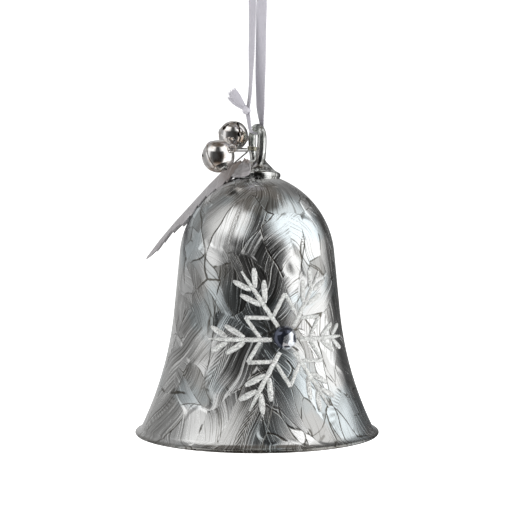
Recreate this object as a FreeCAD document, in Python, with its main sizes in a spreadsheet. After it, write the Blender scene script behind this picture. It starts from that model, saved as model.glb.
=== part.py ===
"""Christmas bell ornament: a blown glass bell on a ribbon, with a clapper, two jingle bells and a leaf.

The origin is the centre of the rim, on the plane that the rim rests on. +Z runs up the bell's axis,
-Y is the front with the snowflake, and lengths are millimetres.
"""

import FreeCAD, Part
import math
import os

import Sketcher

Vector = FreeCAD.Vector
Rotation = FreeCAD.Rotation
Placement = FreeCAD.Placement
UP = Vector(0, 0, 1)

DRIVING_SIZES = {
    # The glass bell: a dome and a flare, two arcs joined by a straight waist that touches both.
    "glass_wall": 1.2,
    "dome_radius": 25.35,
    "dome_offset": 2.95,
    "dome_height": 49.6,
    "flare_radius": 98.6,
    "flare_offset": 122.05,
    "flare_height": 44.75,
    "lip_height": 1.6,
    "rim_radius": 35.0,
    "bead_radius": 0.48,
    "foot_ring_inside": 33.0,
    # The glass loop on the crown. Its ring stands turned about the bell's axis.
    "foot_radius": 6.5,
    "foot_edge": 0.9,
    "neck_radius": 2.9,
    "neck_height": 77.8,
    "ring_radius": 3.05,
    "ring_height": 84.7,
    "leg_bow_radius": 20.1,
    "leg_foot_height": 77.0,
    "front_leg_radius": 1.48,
    "back_leg_radius": 0.95,
    "ring_turn": -62.0,
    # The glitter snowflake and its rhinestone.
    "flake_height": 28.4,
    "flake_turn": 18.4,
    "flake_reach": 21.8,
    "flake_lift": 0.35,
    "flake_gap": 0.1,
    "flake_squeeze": 0.985,
    "stem_start": 0.8,
    "stem_width": 1.15,
    "first_pair_at": 0.52,
    "first_pair_length": 6.4,
    "second_pair_at": 0.74,
    "second_pair_length": 5.6,
    "star_root_at": 0.33,
    "star_tip_at": 0.57,
    "gem_height": 28.9,
    "gem_turn": 17.4,
    "gem_radius": 3.2,
    "gem_girdle": 0.5,
    "gem_rise": 2.1,
    "gem_gap": 0.3,
    "glue_radius": 2.7,
    "glue_depth": 1.0,
    # The ribbon.
    "ribbon_width": 3.0,
    "ribbon_thick": 0.3,
    "ribbon_gather": 1.8,
    "ribbon_gather_top": 97.0,
    "ribbon_bow": 1.75,
    "ribbon_top": 130.6,
    "knot_radius": 1.35,
    "tail_length": 6.0,
    # The jingle bells.
    "lower_jingle": 4.65,
    "upper_jingle": 4.35,
    "jingle_wall": 0.4,
    "seam_proud": 0.2,
    "seam_rise": 0.5,
    "slot_width": 0.65,
    "slot_hole": 0.75,
    "lower_slot_turn": 43.2,
    "upper_slot_turn": 26.3,
    "slot_end_angle": 56.0,
    "slot_depth": 0.44,
    "eye_radius": 0.95,
    "eye_wire": 0.24,
    "pellet_radius": 1.3,
    "pellet_play": 0.05,
    "stem_wire": 0.25,
    "wire_past_eye": 0.7,
    # The binding wire round the back leg of the ring.
    "tie_wire_radius": 0.18,
    "tie_height": 81.55,
    "tie_pitch": 0.4,
    "tie_clear": 0.4,
    "tie_lean": 6.0,
    # The leaf.
    "leaf_half_width": 6.6,
    "leaf_arch": 1.1,
    "leaf_notch": 0.74,
    "leaf_tooth_lean": 0.7,
    "leaf_stem_height": 81.0,
    "leaf_thick": 0.45,
    "leaf_fold": 2.4,
    # The clapper.
    "hook_height": 71.4,
    "boss_foot": 72.2,
    "boss_top": 73.3,
    "boss_clear": 0.2,
    "link_radius": 1.4,
    "link_wire": 0.3,
    "link_play": 0.05,
    "rod_wire": 0.4,
    "clapper_bead": 4.6,
    "clapper_bead_height": 14.0,
    "crimp_radius": 0.9,
    "crimp_gap": 0.4,
    "bore_clear": 0.05,
}

# Where the trimmings hang: the middle of each jingle, the way its slotted cup looks, and its tie.
LOWER_JINGLE = ((-11.0, -5.6, 79.0), (-0.76, 0.55, -0.35), (-3.1, 2.0, 81.9))
UPPER_JINGLE = ((-6.95, 4.6, 86.0), (0.25, -0.50, 0.83), (-2.2, 4.3, 81.5))
LEAF_ROOT = (-10.4, 1.0, 74.2)
LEAF_TIP = (-31.9, 0.6, 50.15)
LEAF_TEETH = 8
LEAF_POINT = 0.12
LEAF_TIE_OFFSET = (-1.5, -0.9, 0.0)
KNOT_MIDDLE = (-3.05, -1.75, 92.7)
TAIL_WAYS = {"front": (-0.62, -0.2, 0.78), "back": (-0.74, 0.22, 0.6)}
# The six arms of the snowflake, clockwise from straight up.
ARM_ANGLES = (32.0, 90.0, 148.0, 212.0, 270.0, 328.0)
# How wide each kind of glitter stroke is, at even steps from its root to its tip.
STEM_STROKE = (1.15, 1.15, 1.15, 1.15, 1.15, 0.8, 0.5)
BLADE_STROKE = (0.9, 1.35, 1.5, 1.4, 0.9)
CHEVRON_STROKE = (0.9, 0.95, 0.7)

doc = FreeCAD.newDocument("christmas_bell")
sheet = doc.addObject("Spreadsheet::Sheet", "Sizes")
for row, (word, number) in enumerate(DRIVING_SIZES.items(), start=1):
    sheet.set(f"A{row}", word)
    sheet.set(f"B{row}", str(number))
    sheet.setAlias(f"B{row}", word)
doc.recompute()

nodes = {}


def size(word):
    """The number in the sheet's cell of that name."""
    return float(sheet.get(word))


def keep(part, label, place=None):
    """Make part the sub-part called label, standing at place."""
    part.Label = label
    if place is not None:
        part.Placement = place
    nodes[label] = part
    return part


def on_sheet(rule):
    """A rule whose sizes are plain names, as an expression on the sheet's cells."""
    return " ".join(f"Sizes.{word}" if word in DRIVING_SIZES else word for word in rule.split())


def bind(part, **rules):
    """Bind each property of part to a rule on the sheet."""
    for name, rule in rules.items():
        part.setExpression(name, on_sheet(rule))
    return part


def solid(kind, name, place=None, **rules):
    """A Part primitive whose sizes are rules on the sheet."""
    part = bind(doc.addObject(f"Part::{kind}", name), **rules)
    if place is not None:
        part.Placement = place
    return part


def cut(name, base, *tools):
    """base with each of tools cut out of it."""
    for number, tool in enumerate(tools):
        piece = doc.addObject("Part::Cut", f"{name}_{number}")
        piece.Base, piece.Tool = base, tool
        base = piece
    return base


def fuse(name, *pieces):
    """The pieces joined into one."""
    joined = doc.addObject("Part::MultiFuse", name)
    joined.Shapes = list(pieces)
    return joined


def turned(toward, at):
    """The placement that carries +Z to the direction toward, at a point."""
    return Placement(at, Rotation(UP, toward))


def around(degrees, radius, height):
    """A point round the bell's axis, with 0 degrees at the front and positive towards +X."""
    angle = math.radians(degrees)
    return Vector(radius * math.sin(angle), -radius * math.cos(angle), height)


class Profile:
    """A closed outline in the XZ plane of a body, drawn corner after corner and spun about +Z."""

    def __init__(self, name):
        self.body = doc.addObject("PartDesign::Body", name)
        plane = next(p for p in self.body.Origin.OriginFeatures if p.Role == "XZ_Plane")
        self.sketch = self.body.newObject("Sketcher::SketchObject", name + "_outline")
        self.sketch.AttachmentSupport = [(plane, "")]
        self.sketch.MapMode = "FlatFace"

    def rule(self, kind, *places, value, rule):
        """Add a dimension, bound to a rule on the sheet."""
        number = self.sketch.addConstraint(Sketcher.Constraint(kind, *places, value))
        self.sketch.setExpression(f"Constraints[{number}]", on_sheet(rule))

    def line(self, start, end):
        """Draw a straight edge and return its number."""
        return self.sketch.addGeometry(Part.LineSegment(Vector(*start, 0), Vector(*end, 0)))

    def arc(self, centre, radius, start, end):
        """Draw the arc about centre that runs anticlockwise from start to end, and return its number."""
        first, last = (math.atan2(p[1] - centre[1], p[0] - centre[0]) for p in (start, end))
        circle = Part.Circle(Vector(*centre, 0), Vector(0, 0, 1), radius)
        return self.sketch.addGeometry(Part.ArcOfCircle(circle, first, last))

    def join(self, *pairs):
        """Make pairs of ends, each (edge, end), meet."""
        for (edge, end), (other, other_end) in pairs:
            self.sketch.addConstraint(Sketcher.Constraint("Coincident", edge, end, other, other_end))

    def smooth(self, *pairs):
        """Make pairs of ends meet with no corner between them."""
        for (edge, end), (other, other_end) in pairs:
            self.sketch.addConstraint(Sketcher.Constraint("Tangent", edge, end, other, other_end))

    def spin(self):
        """Spin the outline a full turn and return the body."""
        revolution = self.body.newObject("PartDesign::Revolution", self.body.Name + "_spin")
        revolution.Profile = self.sketch
        revolution.ReferenceAxis = (self.sketch, ["V_Axis"])
        revolution.Angle = 360.0
        return self.body


START, END, CENTRE, ORIGIN = 1, 2, 3, (-1, 1)


def waist(wall):
    """Where the straight waist touches the dome and the flare, on the glass wall millimetres inside."""
    dome = (-size("dome_offset"), size("dome_height"))
    flare = (size("flare_offset"), size("flare_height"))
    apart = math.hypot(flare[0] - dome[0], flare[1] - dome[1])
    lean = math.atan2(flare[1] - dome[1], flare[0] - dome[0])
    angle = lean + math.acos((size("dome_radius") + size("flare_radius")) / apart)
    near, far = size("dome_radius") - wall, size("flare_radius") + wall
    return (
        (dome[0] + near * math.cos(angle), dome[1] + near * math.sin(angle)),
        (flare[0] - far * math.cos(angle), flare[1] - far * math.sin(angle)),
    )


def dome_top(wall):
    """The height at which the dome's arc crosses the axis."""
    return size("dome_height") + math.sqrt((size("dome_radius") - wall) ** 2 - size("dome_offset") ** 2)


def flare_radius_at(height, wall=0.0):
    """The bell's radius on its flare, at a height."""
    reach = size("flare_radius") + wall
    return size("flare_offset") - math.sqrt(reach**2 - (size("flare_height") - height) ** 2)


def glass_radius(height):
    """The outside radius of the bell at any height on it."""
    high, low = waist(0.0)
    if height > high[1]:
        rise = height - size("dome_height")
        return math.sqrt(size("dome_radius") ** 2 - rise**2) - size("dome_offset")
    if height < low[1]:
        return flare_radius_at(height)
    share = (height - low[1]) / (high[1] - low[1])
    return low[0] + share * (high[0] - low[0])


# --- The glass bell -------------------------------------------------------------------------------


def glass_side(outline, wall, foot_height):
    """Draw one side of the wall, from the crown down to foot_height, and return its three edges."""
    dome = (-size("dome_offset"), size("dome_height"))
    flare = (size("flare_offset"), size("flare_height"))
    high, low = waist(wall)
    foot = (flare_radius_at(foot_height, wall), foot_height)
    arch = outline.arc(dome, size("dome_radius") - wall, high, (0.0, dome_top(wall)))
    side = outline.line(high, low)
    skirt = outline.arc(flare, size("flare_radius") + wall, low, foot)
    outline.smooth(((arch, START), (side, START)), ((side, END), (skirt, START)))
    inside = " - glass_wall" if wall else ""
    outside = " + glass_wall" if wall else ""
    outline.rule("Radius", arch, value=size("dome_radius") - wall, rule="dome_radius" + inside)
    outline.rule("Radius", skirt, value=size("flare_radius") + wall, rule="flare_radius" + outside)
    outline.rule("DistanceX", *ORIGIN, arch, CENTRE, value=dome[0], rule="- 1 * dome_offset")
    outline.rule("DistanceY", *ORIGIN, arch, CENTRE, value=dome[1], rule="dome_height")
    outline.rule("DistanceX", *ORIGIN, skirt, CENTRE, value=flare[0], rule="flare_offset")
    outline.rule("DistanceY", *ORIGIN, skirt, CENTRE, value=flare[1], rule="flare_height")
    return arch, side, skirt


def bell_shell():
    """The blown shell, its edge turned out into a rounded lip with a narrow flat ring to stand on."""
    outline = Profile("bell_shell")
    wall, bead, rim = size("glass_wall"), size("bead_radius"), size("rim_radius")
    outer = glass_side(outline, 0.0, size("lip_height"))
    inner = glass_side(outline, wall, size("lip_height"))
    lip_top = (rim - bead, 2 * bead)
    lip_foot = (rim - bead, 0.0)
    ring_inside = (size("foot_ring_inside"), 0.0)
    outer_foot = (flare_radius_at(size("lip_height")), size("lip_height"))
    inner_foot = (flare_radius_at(size("lip_height"), wall), size("lip_height"))
    turn_out = outline.line(outer_foot, lip_top)
    bead_arc = outline.arc((rim - bead, bead), bead, lip_foot, lip_top)
    ring = outline.line(lip_foot, ring_inside)
    turn_in = outline.line(ring_inside, inner_foot)
    axis = outline.line((0.0, dome_top(wall)), (0.0, dome_top(0.0)))
    outline.join(
        ((outer[2], END), (turn_out, START)),
        ((turn_out, END), (bead_arc, END)),
        ((bead_arc, START), (ring, START)),
        ((ring, END), (turn_in, START)),
        ((turn_in, END), (inner[2], END)),
        ((inner[0], END), (axis, START)),
        ((axis, END), (outer[0], END)),
    )
    outline.rule("DistanceY", *ORIGIN, outer[2], END, value=size("lip_height"), rule="lip_height")
    outline.rule("DistanceY", *ORIGIN, inner[2], END, value=size("lip_height"), rule="lip_height")
    outline.rule("Radius", bead_arc, value=bead, rule="bead_radius")
    outline.rule("DistanceX", *ORIGIN, bead_arc, CENTRE, value=rim - bead, rule="rim_radius - bead_radius")
    outline.rule("DistanceY", *ORIGIN, bead_arc, CENTRE, value=bead, rule="bead_radius")
    outline.rule("DistanceX", *ORIGIN, turn_out, END, value=rim - bead, rule="rim_radius - bead_radius")
    outline.rule("DistanceX", *ORIGIN, ring, START, value=rim - bead, rule="rim_radius - bead_radius")
    outline.rule("DistanceX", *ORIGIN, ring, END, value=ring_inside[0], rule="foot_ring_inside")
    outline.sketch.addConstraint(Sketcher.Constraint("PointOnObject", ring, END, -1))
    for end in (START, END):
        outline.sketch.addConstraint(Sketcher.Constraint("PointOnObject", axis, end, -2))
    keep(outline.spin(), "bell_shell")


def hanging_loop():
    """The gather of hot glass on the crown: a flared foot, and a rod drawn from it into a ring."""
    outline = Profile("loop_foot")
    dome = (-size("dome_offset"), size("dome_height"))
    foot, edge, neck, top = size("foot_radius"), size("foot_edge"), size("neck_radius"), size("neck_height")
    dome_at_foot = dome[1] + math.sqrt(size("dome_radius") ** 2 - (foot - dome[0]) ** 2)
    seat = outline.arc(dome, size("dome_radius"), (foot, dome_at_foot), (0.0, dome_top(0.0)))
    side = outline.line((foot, dome_at_foot), (foot, dome_at_foot + edge))
    cone = outline.line((foot, dome_at_foot + edge), (neck, top))
    lid = outline.line((neck, top), (0.0, top))
    axis = outline.line((0.0, top), (0.0, dome_top(0.0)))
    outline.join(
        ((seat, START), (side, START)),
        ((side, END), (cone, START)),
        ((cone, END), (lid, START)),
        ((lid, END), (axis, START)),
        ((axis, END), (seat, END)),
    )
    outline.rule("Radius", seat, value=size("dome_radius"), rule="dome_radius")
    outline.rule("DistanceX", *ORIGIN, seat, CENTRE, value=dome[0], rule="- 1 * dome_offset")
    outline.rule("DistanceY", *ORIGIN, seat, CENTRE, value=dome[1], rule="dome_height")
    outline.rule("DistanceX", *ORIGIN, side, START, value=foot, rule="foot_radius")
    outline.rule("DistanceX", *ORIGIN, side, END, value=foot, rule="foot_radius")
    outline.rule("DistanceY", side, START, side, END, value=edge, rule="foot_edge")
    outline.rule("DistanceX", *ORIGIN, cone, END, value=neck, rule="neck_radius")
    outline.rule("DistanceY", *ORIGIN, cone, END, value=top, rule="neck_height")
    outline.rule("DistanceY", *ORIGIN, lid, END, value=top, rule="neck_height")
    for place in ((axis, START), (axis, END)):
        outline.sketch.addConstraint(Sketcher.Constraint("PointOnObject", *place, -2))
    foot_body = outline.spin()

    ring, high, bow = size("ring_radius"), size("ring_height"), size("leg_bow_radius")
    drop = high - size("leg_foot_height")
    swing = math.asin(drop / bow)
    path = doc.addObject("Sketcher::SketchObject", "loop_path")
    turn = Rotation(UP, size("ring_turn"))
    path.Placement = Placement(Vector(), turn * Rotation(Vector(1, 0, 0), 90))
    for centre, radius, first, last in (
        (ring - bow, bow, -swing, 0.0),
        (0.0, ring, 0.0, math.pi),
        (bow - ring, bow, math.pi, math.pi + swing),
    ):
        circle = Part.Circle(Vector(centre, high, 0), Vector(0, 0, 1), radius)
        path.addGeometry(Part.ArcOfCircle(circle, first, last))
    for edge in (0, 1):
        path.addConstraint(Sketcher.Constraint("Coincident", edge, END, edge + 1, START))
    for edge, word in ((0, "leg_bow_radius"), (1, "ring_radius"), (2, "leg_bow_radius")):
        number = path.addConstraint(Sketcher.Constraint("Radius", edge, size(word)))
        path.setExpression(f"Constraints[{number}]", f"Sizes.{word}")

    ends = []
    for side, word in ((1, "front_leg_radius"), (-1, "back_leg_radius")):
        section = solid("Circle", f"{word}_section", Radius=word)
        across = side * (ring - bow + bow * math.cos(swing))
        way = turn.multVec(Vector(math.sin(swing), 0, side * math.cos(swing)))
        section.Placement = turned(way, turn.multVec(Vector(across, 0, high - drop)))
        ends.append(section)
    rod = doc.addObject("Part::Sweep", "loop_rod")
    rod.Sections = ends
    rod.Spine = (path, ["Edge1", "Edge2", "Edge3"])
    rod.Solid = True
    keep(fuse("loop_glass", foot_body, rod), "hanging_loop")


# --- Thin sheets that follow a curved surface ------------------------------------------------------


def sheet_solid(rows, lift):
    """A closed sheet through rows of points, thickened by adding lift(point) to each one."""
    tops = [[point + lift(point) for point in row] for row in rows]
    faces = []

    def quad(first, second, third, fourth):
        for corners in ((first, second, third), (first, third, fourth)):
            faces.append(Part.Face(Part.makePolygon([*corners, corners[0]])))

    for near, far, top_near, top_far in zip(rows, rows[1:], tops, tops[1:]):
        for left in range(len(near) - 1):
            quad(near[left], far[left], far[left + 1], near[left + 1])
            quad(top_near[left], top_near[left + 1], top_far[left + 1], top_far[left])
        quad(near[0], top_near[0], top_far[0], far[0])
        quad(near[-1], far[-1], top_far[-1], top_near[-1])
    for row, top in ((rows[0], tops[0]), (rows[-1][::-1], tops[-1][::-1])):
        for left in range(len(row) - 1):
            quad(row[left], row[left + 1], top[left + 1], top[left])
    shell = Part.Shell(faces)
    made = Part.Solid(shell)
    if made.Volume < 0:
        made.reverse()
    return made


def on_glass(across, up):
    """The point on the bell at that distance sideways and upwards from the snowflake's centre."""
    height = size("flake_height") + up * size("flake_squeeze")
    radius = glass_radius(height) + size("flake_gap")
    return around(size("flake_turn") + math.degrees(across / radius), radius, height)


def outward(point):
    """The way off the glass at a point on it, as long as the glitter is thick."""
    rise = 0.5
    slope = (glass_radius(point.z + rise) - glass_radius(point.z - rise)) / (2 * rise)
    way = Vector(point.x, point.y, 0).normalize() - UP * slope
    return way.normalize() * size("flake_lift")


def stroke(start, end, widths):
    """One brush stroke on the glass from start to end, as wide as widths at even steps along it."""
    along = (end[0] - start[0], end[1] - start[1])
    length = math.hypot(*along)
    side = (-along[1] / length, along[0] / length)
    rows = []
    for step, width in enumerate(widths):
        share = step / (len(widths) - 1)
        middle = (start[0] + share * along[0], start[1] + share * along[1])
        rows.append([on_glass(middle[0] + side[0] * half, middle[1] + side[1] * half)
                     for half in (-width / 2, width / 2)])
    return sheet_solid(rows, outward)


def snowflake():
    """Six stems, each with two pairs of leaf-shaped side strokes, and a star of chevrons between them."""
    stem, reach = size("stem_width"), size("flake_reach")
    star_root, star_tip = size("star_root_at") * reach, size("star_tip_at") * reach
    pairs = [(size(f"{word}_pair_at") * reach, size(f"{word}_pair_length")) for word in ("first", "second")]
    strokes = []
    for number, angle in enumerate(ARM_ANGLES):
        turn = math.radians(angle)

        def spot(along, aside, turn=turn):
            return (
                along * math.sin(turn) + aside * math.cos(turn),
                along * math.cos(turn) - aside * math.sin(turn),
            )

        start = size("gem_radius") + size("stem_start")
        strokes.append(stroke(spot(start, 0), spot(reach, 0), STEM_STROKE))
        for root, length in pairs:
            for hand in (-1, 1):
                foot = spot(root, hand * (stem / 2 + 0.3))
                tip = spot(root + 0.82 * length, hand * (stem / 2 + 0.5 * length))
                strokes.append(stroke(foot, tip, BLADE_STROKE))
        after = math.radians(ARM_ANGLES[(number + 1) % len(ARM_ANGLES)])
        between = turn + ((after - turn) % (2 * math.pi)) / 2
        peak = (star_tip * math.sin(between), star_tip * math.cos(between))
        for way, hand in ((turn, 1), (after, -1)):
            aside = hand * (stem / 2 + 0.15)
            root = (
                star_root * math.sin(way) + aside * math.cos(way),
                star_root * math.cos(way) - aside * math.sin(way),
            )
            shy = (peak[0] - hand * 0.45 * math.cos(between), peak[1] + hand * 0.45 * math.sin(between))
            strokes.append(stroke(root, shy, CHEVRON_STROKE))
    flake = doc.addObject("Part::Feature", "snowflake")
    flake.Shape = Part.Compound(strokes)
    keep(flake, "snowflake")


def rhinestone():
    """The flat-backed domed stone, and the glue that fills the gap under it."""
    outline = Profile("gem")
    wide, girdle, rise = size("gem_radius"), size("gem_girdle"), size("gem_rise")
    dome = (wide**2 + rise**2) / (2 * rise)
    back = outline.line((0.0, 0.0), (wide, 0.0))
    side = outline.line((wide, 0.0), (wide, girdle))
    crown = outline.arc((0.0, girdle + rise - dome), dome, (wide, girdle), (0.0, girdle + rise))
    axis = outline.line((0.0, girdle + rise), (0.0, 0.0))
    outline.join(
        ((back, END), (side, START)),
        ((side, END), (crown, START)),
        ((crown, END), (axis, START)),
        ((axis, END), (back, START)),
    )
    outline.rule("DistanceX", *ORIGIN, back, END, value=wide, rule="gem_radius")
    outline.rule("DistanceX", *ORIGIN, side, END, value=wide, rule="gem_radius")
    outline.rule("DistanceY", *ORIGIN, side, END, value=girdle, rule="gem_girdle")
    outline.rule("DistanceY", *ORIGIN, crown, END, value=girdle + rise, rule="gem_girdle + gem_rise")
    outline.sketch.addConstraint(Sketcher.Constraint("PointOnObject", crown, CENTRE, -2))
    outline.sketch.addConstraint(Sketcher.Constraint("PointOnObject", back, END, -1))
    outline.sketch.addConstraint(Sketcher.Constraint("Coincident", back, START, *ORIGIN))
    stone = outline.spin()

    height = size("gem_height")
    radius = glass_radius(height)
    at = around(size("gem_turn"), radius, height)
    way = (Vector(at.x, at.y, 0).normalize() - UP * (glass_radius(height + 1) - radius)).normalize()
    keep(stone, "gem", turned(way, at + way * size("gem_gap")))

    drop = solid("Cylinder", "glue_drop", turned(way, at + way * (size("gem_gap") - size("glue_depth"))),
                 Radius="glue_radius", Height="glue_depth")
    blank = doc.addObject("Part::Feature", "glass_blank")
    blank.Shape = outer_glass()
    keep(cut("gem_glue", drop, blank), "gem_glue")


def outer_glass():
    """The bell's outside as one full solid, for cutting what sits on it to shape."""
    high, low = waist(0.0)
    foot = (flare_radius_at(0.0), 0.0)
    dome = (-size("dome_offset"), size("dome_height"))
    flare = (size("flare_offset"), size("flare_height"))

    def bend(centre, radius, start, end):
        angles = [math.atan2(p[1] - centre[1], p[0] - centre[0]) % (2 * math.pi) for p in (start, end)]
        middle = sum(angles) / 2
        through = Vector(centre[0] + radius * math.cos(middle), 0, centre[1] + radius * math.sin(middle))
        return Part.Arc(Vector(start[0], 0, start[1]), through, Vector(end[0], 0, end[1])).toShape()

    top = (0.0, dome_top(0.0))
    edges = [
        bend(dome, size("dome_radius"), top, high),
        Part.LineSegment(Vector(high[0], 0, high[1]), Vector(low[0], 0, low[1])).toShape(),
        bend(flare, size("flare_radius"), low, foot),
        Part.LineSegment(Vector(foot[0], 0, 0), Vector()).toShape(),
        Part.LineSegment(Vector(), Vector(0, 0, top[1])).toShape(),
    ]
    return Part.Face(Part.Wire(edges)).revolve(Vector(), UP, 360)


# --- The jingle bells --------------------------------------------------------------------------------


def rod_between(name, start, end, word):
    """A straight round wire from start to end, as thick as the sheet's word says."""
    wire = solid("Cylinder", name, turned((end - start).normalize(), start), Radius=word)
    wire.Height = (end - start).Length
    return wire


def jingle(name, where):
    """One jingle bell: a pressed cap with its eye, a slotted cup, a pellet and the wire to the tie."""
    centre, cup_way, tie = (Vector(*triple) for triple in where)
    cup_way.normalize()
    word = f"{name}_jingle"
    radius, wall = size(word), size("jingle_wall")
    place = turned(cup_way * -1, centre)

    def hollow(label):
        return solid("Sphere", f"{word}_{label}_hollow", place, Radius=f"{word} - jingle_wall")

    dome = solid("Sphere", f"{word}_dome", place, Radius=word, Angle1="0")
    keep(cut(f"{word}_cap", dome, hollow("cap")), f"{word}_cap")

    bowl = solid("Sphere", f"{word}_bowl", place, Radius=word, Angle2="0")
    band_at = place.multiply(Placement(Vector(0, 0, -size("seam_rise")), Rotation()))
    band = solid("Cylinder", f"{word}_band", band_at, Radius=f"{word} + seam_proud", Height="seam_rise")
    cuts = [hollow("cup")]
    end_angle = size("slot_end_angle")
    for quarter in range(2):
        turn = Rotation(UP, 90 * quarter + size(f"{name}_slot_turn"))
        long = 2 * radius * math.sin(math.radians(end_angle))
        corner = turn.multVec(Vector(-long / 2, -size("slot_width") / 2, -radius - 0.5))
        slot = solid("Box", f"{word}_slot_{quarter}", place.multiply(Placement(corner, turn)),
                     Width="slot_width", Height=f"{word} * slot_depth + 0.5")
        slot.Length = long
        cuts.append(slot)
        for hand in (-1, 1):
            lean = Rotation(Vector(0, 1, 0), 180 - hand * end_angle)
            hole_at = place.multiply(Placement(Vector(), turn * lean))
            cuts.append(solid("Cylinder", f"{word}_hole_{quarter}_{hand + 1}", hole_at,
                              Radius="slot_hole", Height=f"{word} + 1"))
    keep(cut(f"{word}_cup", fuse(f"{word}_cup_blank", bowl, band), *cuts), f"{word}_cup")

    foot = centre - cup_way * (radius - 0.05)
    eye_at = foot - cup_way * (size("eye_radius") - size("eye_wire") / 2)
    across = (eye_at - tie).normalize()
    across = (across - cup_way * across.dot(cup_way)).normalize()
    eye_ring = solid("Torus", f"{word}_eye_ring", turned(across, eye_at),
                     Radius1="eye_radius", Radius2="eye_wire")
    keep(cut(f"{word}_eye", eye_ring, solid("Sphere", f"{word}_eye_seat", place, Radius=word)), f"{word}_eye")
    past = (eye_at - tie).normalize() * size("wire_past_eye")
    keep(rod_between(f"{word}_wire", tie, eye_at + past, "stem_wire"), f"{word}_wire")

    rest = centre - UP * (radius - wall - size("pellet_radius") - size("pellet_play"))
    keep(solid("Sphere", f"{word}_pellet", Placement(rest, Rotation()), Radius="pellet_radius"),
         f"{word}_pellet")


def back_leg(height):
    """The centre of the glass ring's back leg at a height."""
    drop = size("ring_height") - height
    bow = size("leg_bow_radius")
    across = size("ring_radius") - bow + math.sqrt(bow**2 - drop**2)
    return Rotation(UP, size("ring_turn")).multVec(Vector(-across, 0, height))


def tie():
    """Three turns of binding wire round the back leg of the glass ring."""
    turns = []
    lean = Rotation(Vector(0, 1, 0), size("tie_lean"))
    for count in range(3):
        at = back_leg(size("tie_height") + count * size("tie_pitch"))
        turns.append(solid("Torus", f"tie_turn_{count}", Placement(at, lean),
                           Radius1="back_leg_radius + tie_clear", Radius2="tie_wire_radius"))
    group = doc.addObject("Part::Compound", "tie_wire")
    group.Links = turns
    keep(group, "tie_wire")


# --- The leaf ----------------------------------------------------------------------------------------


def leaf():
    """A toothed leaf on a thin stem. Its midrib arches over the shoulder and both halves fold down."""
    root, tip = Vector(*LEAF_ROOT), Vector(*LEAF_TIP)
    along = tip - root
    onward = Vector(along).normalize()
    off_glass = Vector(along.z, 0, -along.x).normalize()
    rows = []
    for step in range(2 * LEAF_TEETH + 1):
        share = step / (2 * LEAF_TEETH)
        body = math.sin(math.pi * min(1.0, share * 0.93 + 0.07) ** 0.85) ** 0.8
        tooth = 1.0 if step % 2 else size("leaf_notch")
        half = max(LEAF_POINT, size("leaf_half_width") * body * tooth)
        arch = off_glass * (size("leaf_arch") * math.sin(math.pi * share))
        middle = root + along * share + arch
        fall = off_glass * (-size("leaf_fold") * half / size("leaf_half_width"))
        lean = onward * (size("leaf_tooth_lean") if step % 2 else 0.0)
        rows.append([
            middle + fall + lean + Vector(0, -half, 0),
            middle,
            middle + fall + lean + Vector(0, half, 0),
        ])
    blade = doc.addObject("Part::Feature", "leaf_blade")
    blade.Shape = sheet_solid(rows, lambda point: off_glass * size("leaf_thick"))
    keep(blade, "leaf_blade")
    tied_at = back_leg(size("leaf_stem_height")) + Vector(*LEAF_TIE_OFFSET)
    keep(rod_between("leaf_stem", tied_at, root + off_glass * 0.2 - onward * 0.1, "stem_wire"), "leaf_stem")


# --- The clapper -------------------------------------------------------------------------------------


def clapper():
    """Hook, link and rod as three linked rings, with a glass bead on the rod above its crimp."""
    step = 2 * size("link_radius") - 2 * size("link_wire") - size("link_play")
    upright, crossed = Rotation(Vector(1, 0, 0), 90), Rotation(Vector(0, 1, 0), 90)
    hook, link, eye = (Vector(0, 0, size("hook_height") - count * step) for count in range(3))

    def ring(name, centre, rotation):
        return solid("Torus", name, Placement(centre, rotation), Radius1="link_radius", Radius2="link_wire")

    boss = solid("Cylinder", "hook_boss", Placement(UP * size("boss_foot"), Rotation()),
                 Radius="link_radius + boss_clear", Height="boss_top - boss_foot")
    keep(fuse("hook_on_boss", ring("hook_ring", hook, upright), boss), "clapper_hook")
    keep(ring("link_ring", link, crossed), "clapper_link")

    bead, bead_at = size("clapper_bead"), size("clapper_bead_height")
    rod_foot = Vector(0, 0, bead_at - bead - size("crimp_gap"))
    rod = rod_between("rod_shaft", rod_foot, eye - UP * size("link_radius"), "rod_wire")
    keep(fuse("rod_and_eye", ring("rod_eye", eye, upright), rod), "clapper_rod")
    ball = solid("Sphere", "bead_ball", Placement(Vector(0, 0, bead_at), Rotation()), Radius="clapper_bead")
    bore = solid("Cylinder", "bead_bore", Placement(Vector(0, 0, bead_at - bead - 1), Rotation()),
                 Radius="rod_wire + bore_clear", Height="clapper_bead * 2 + 2")
    keep(cut("bead_bored", ball, bore), "clapper_bead")
    crimp_at = Placement(rod_foot - UP * size("crimp_radius"), Rotation())
    keep(solid("Sphere", "crimp_ball", crimp_at, Radius="crimp_radius"), "clapper_crimp")


# --- The ribbon --------------------------------------------------------------------------------------


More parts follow.
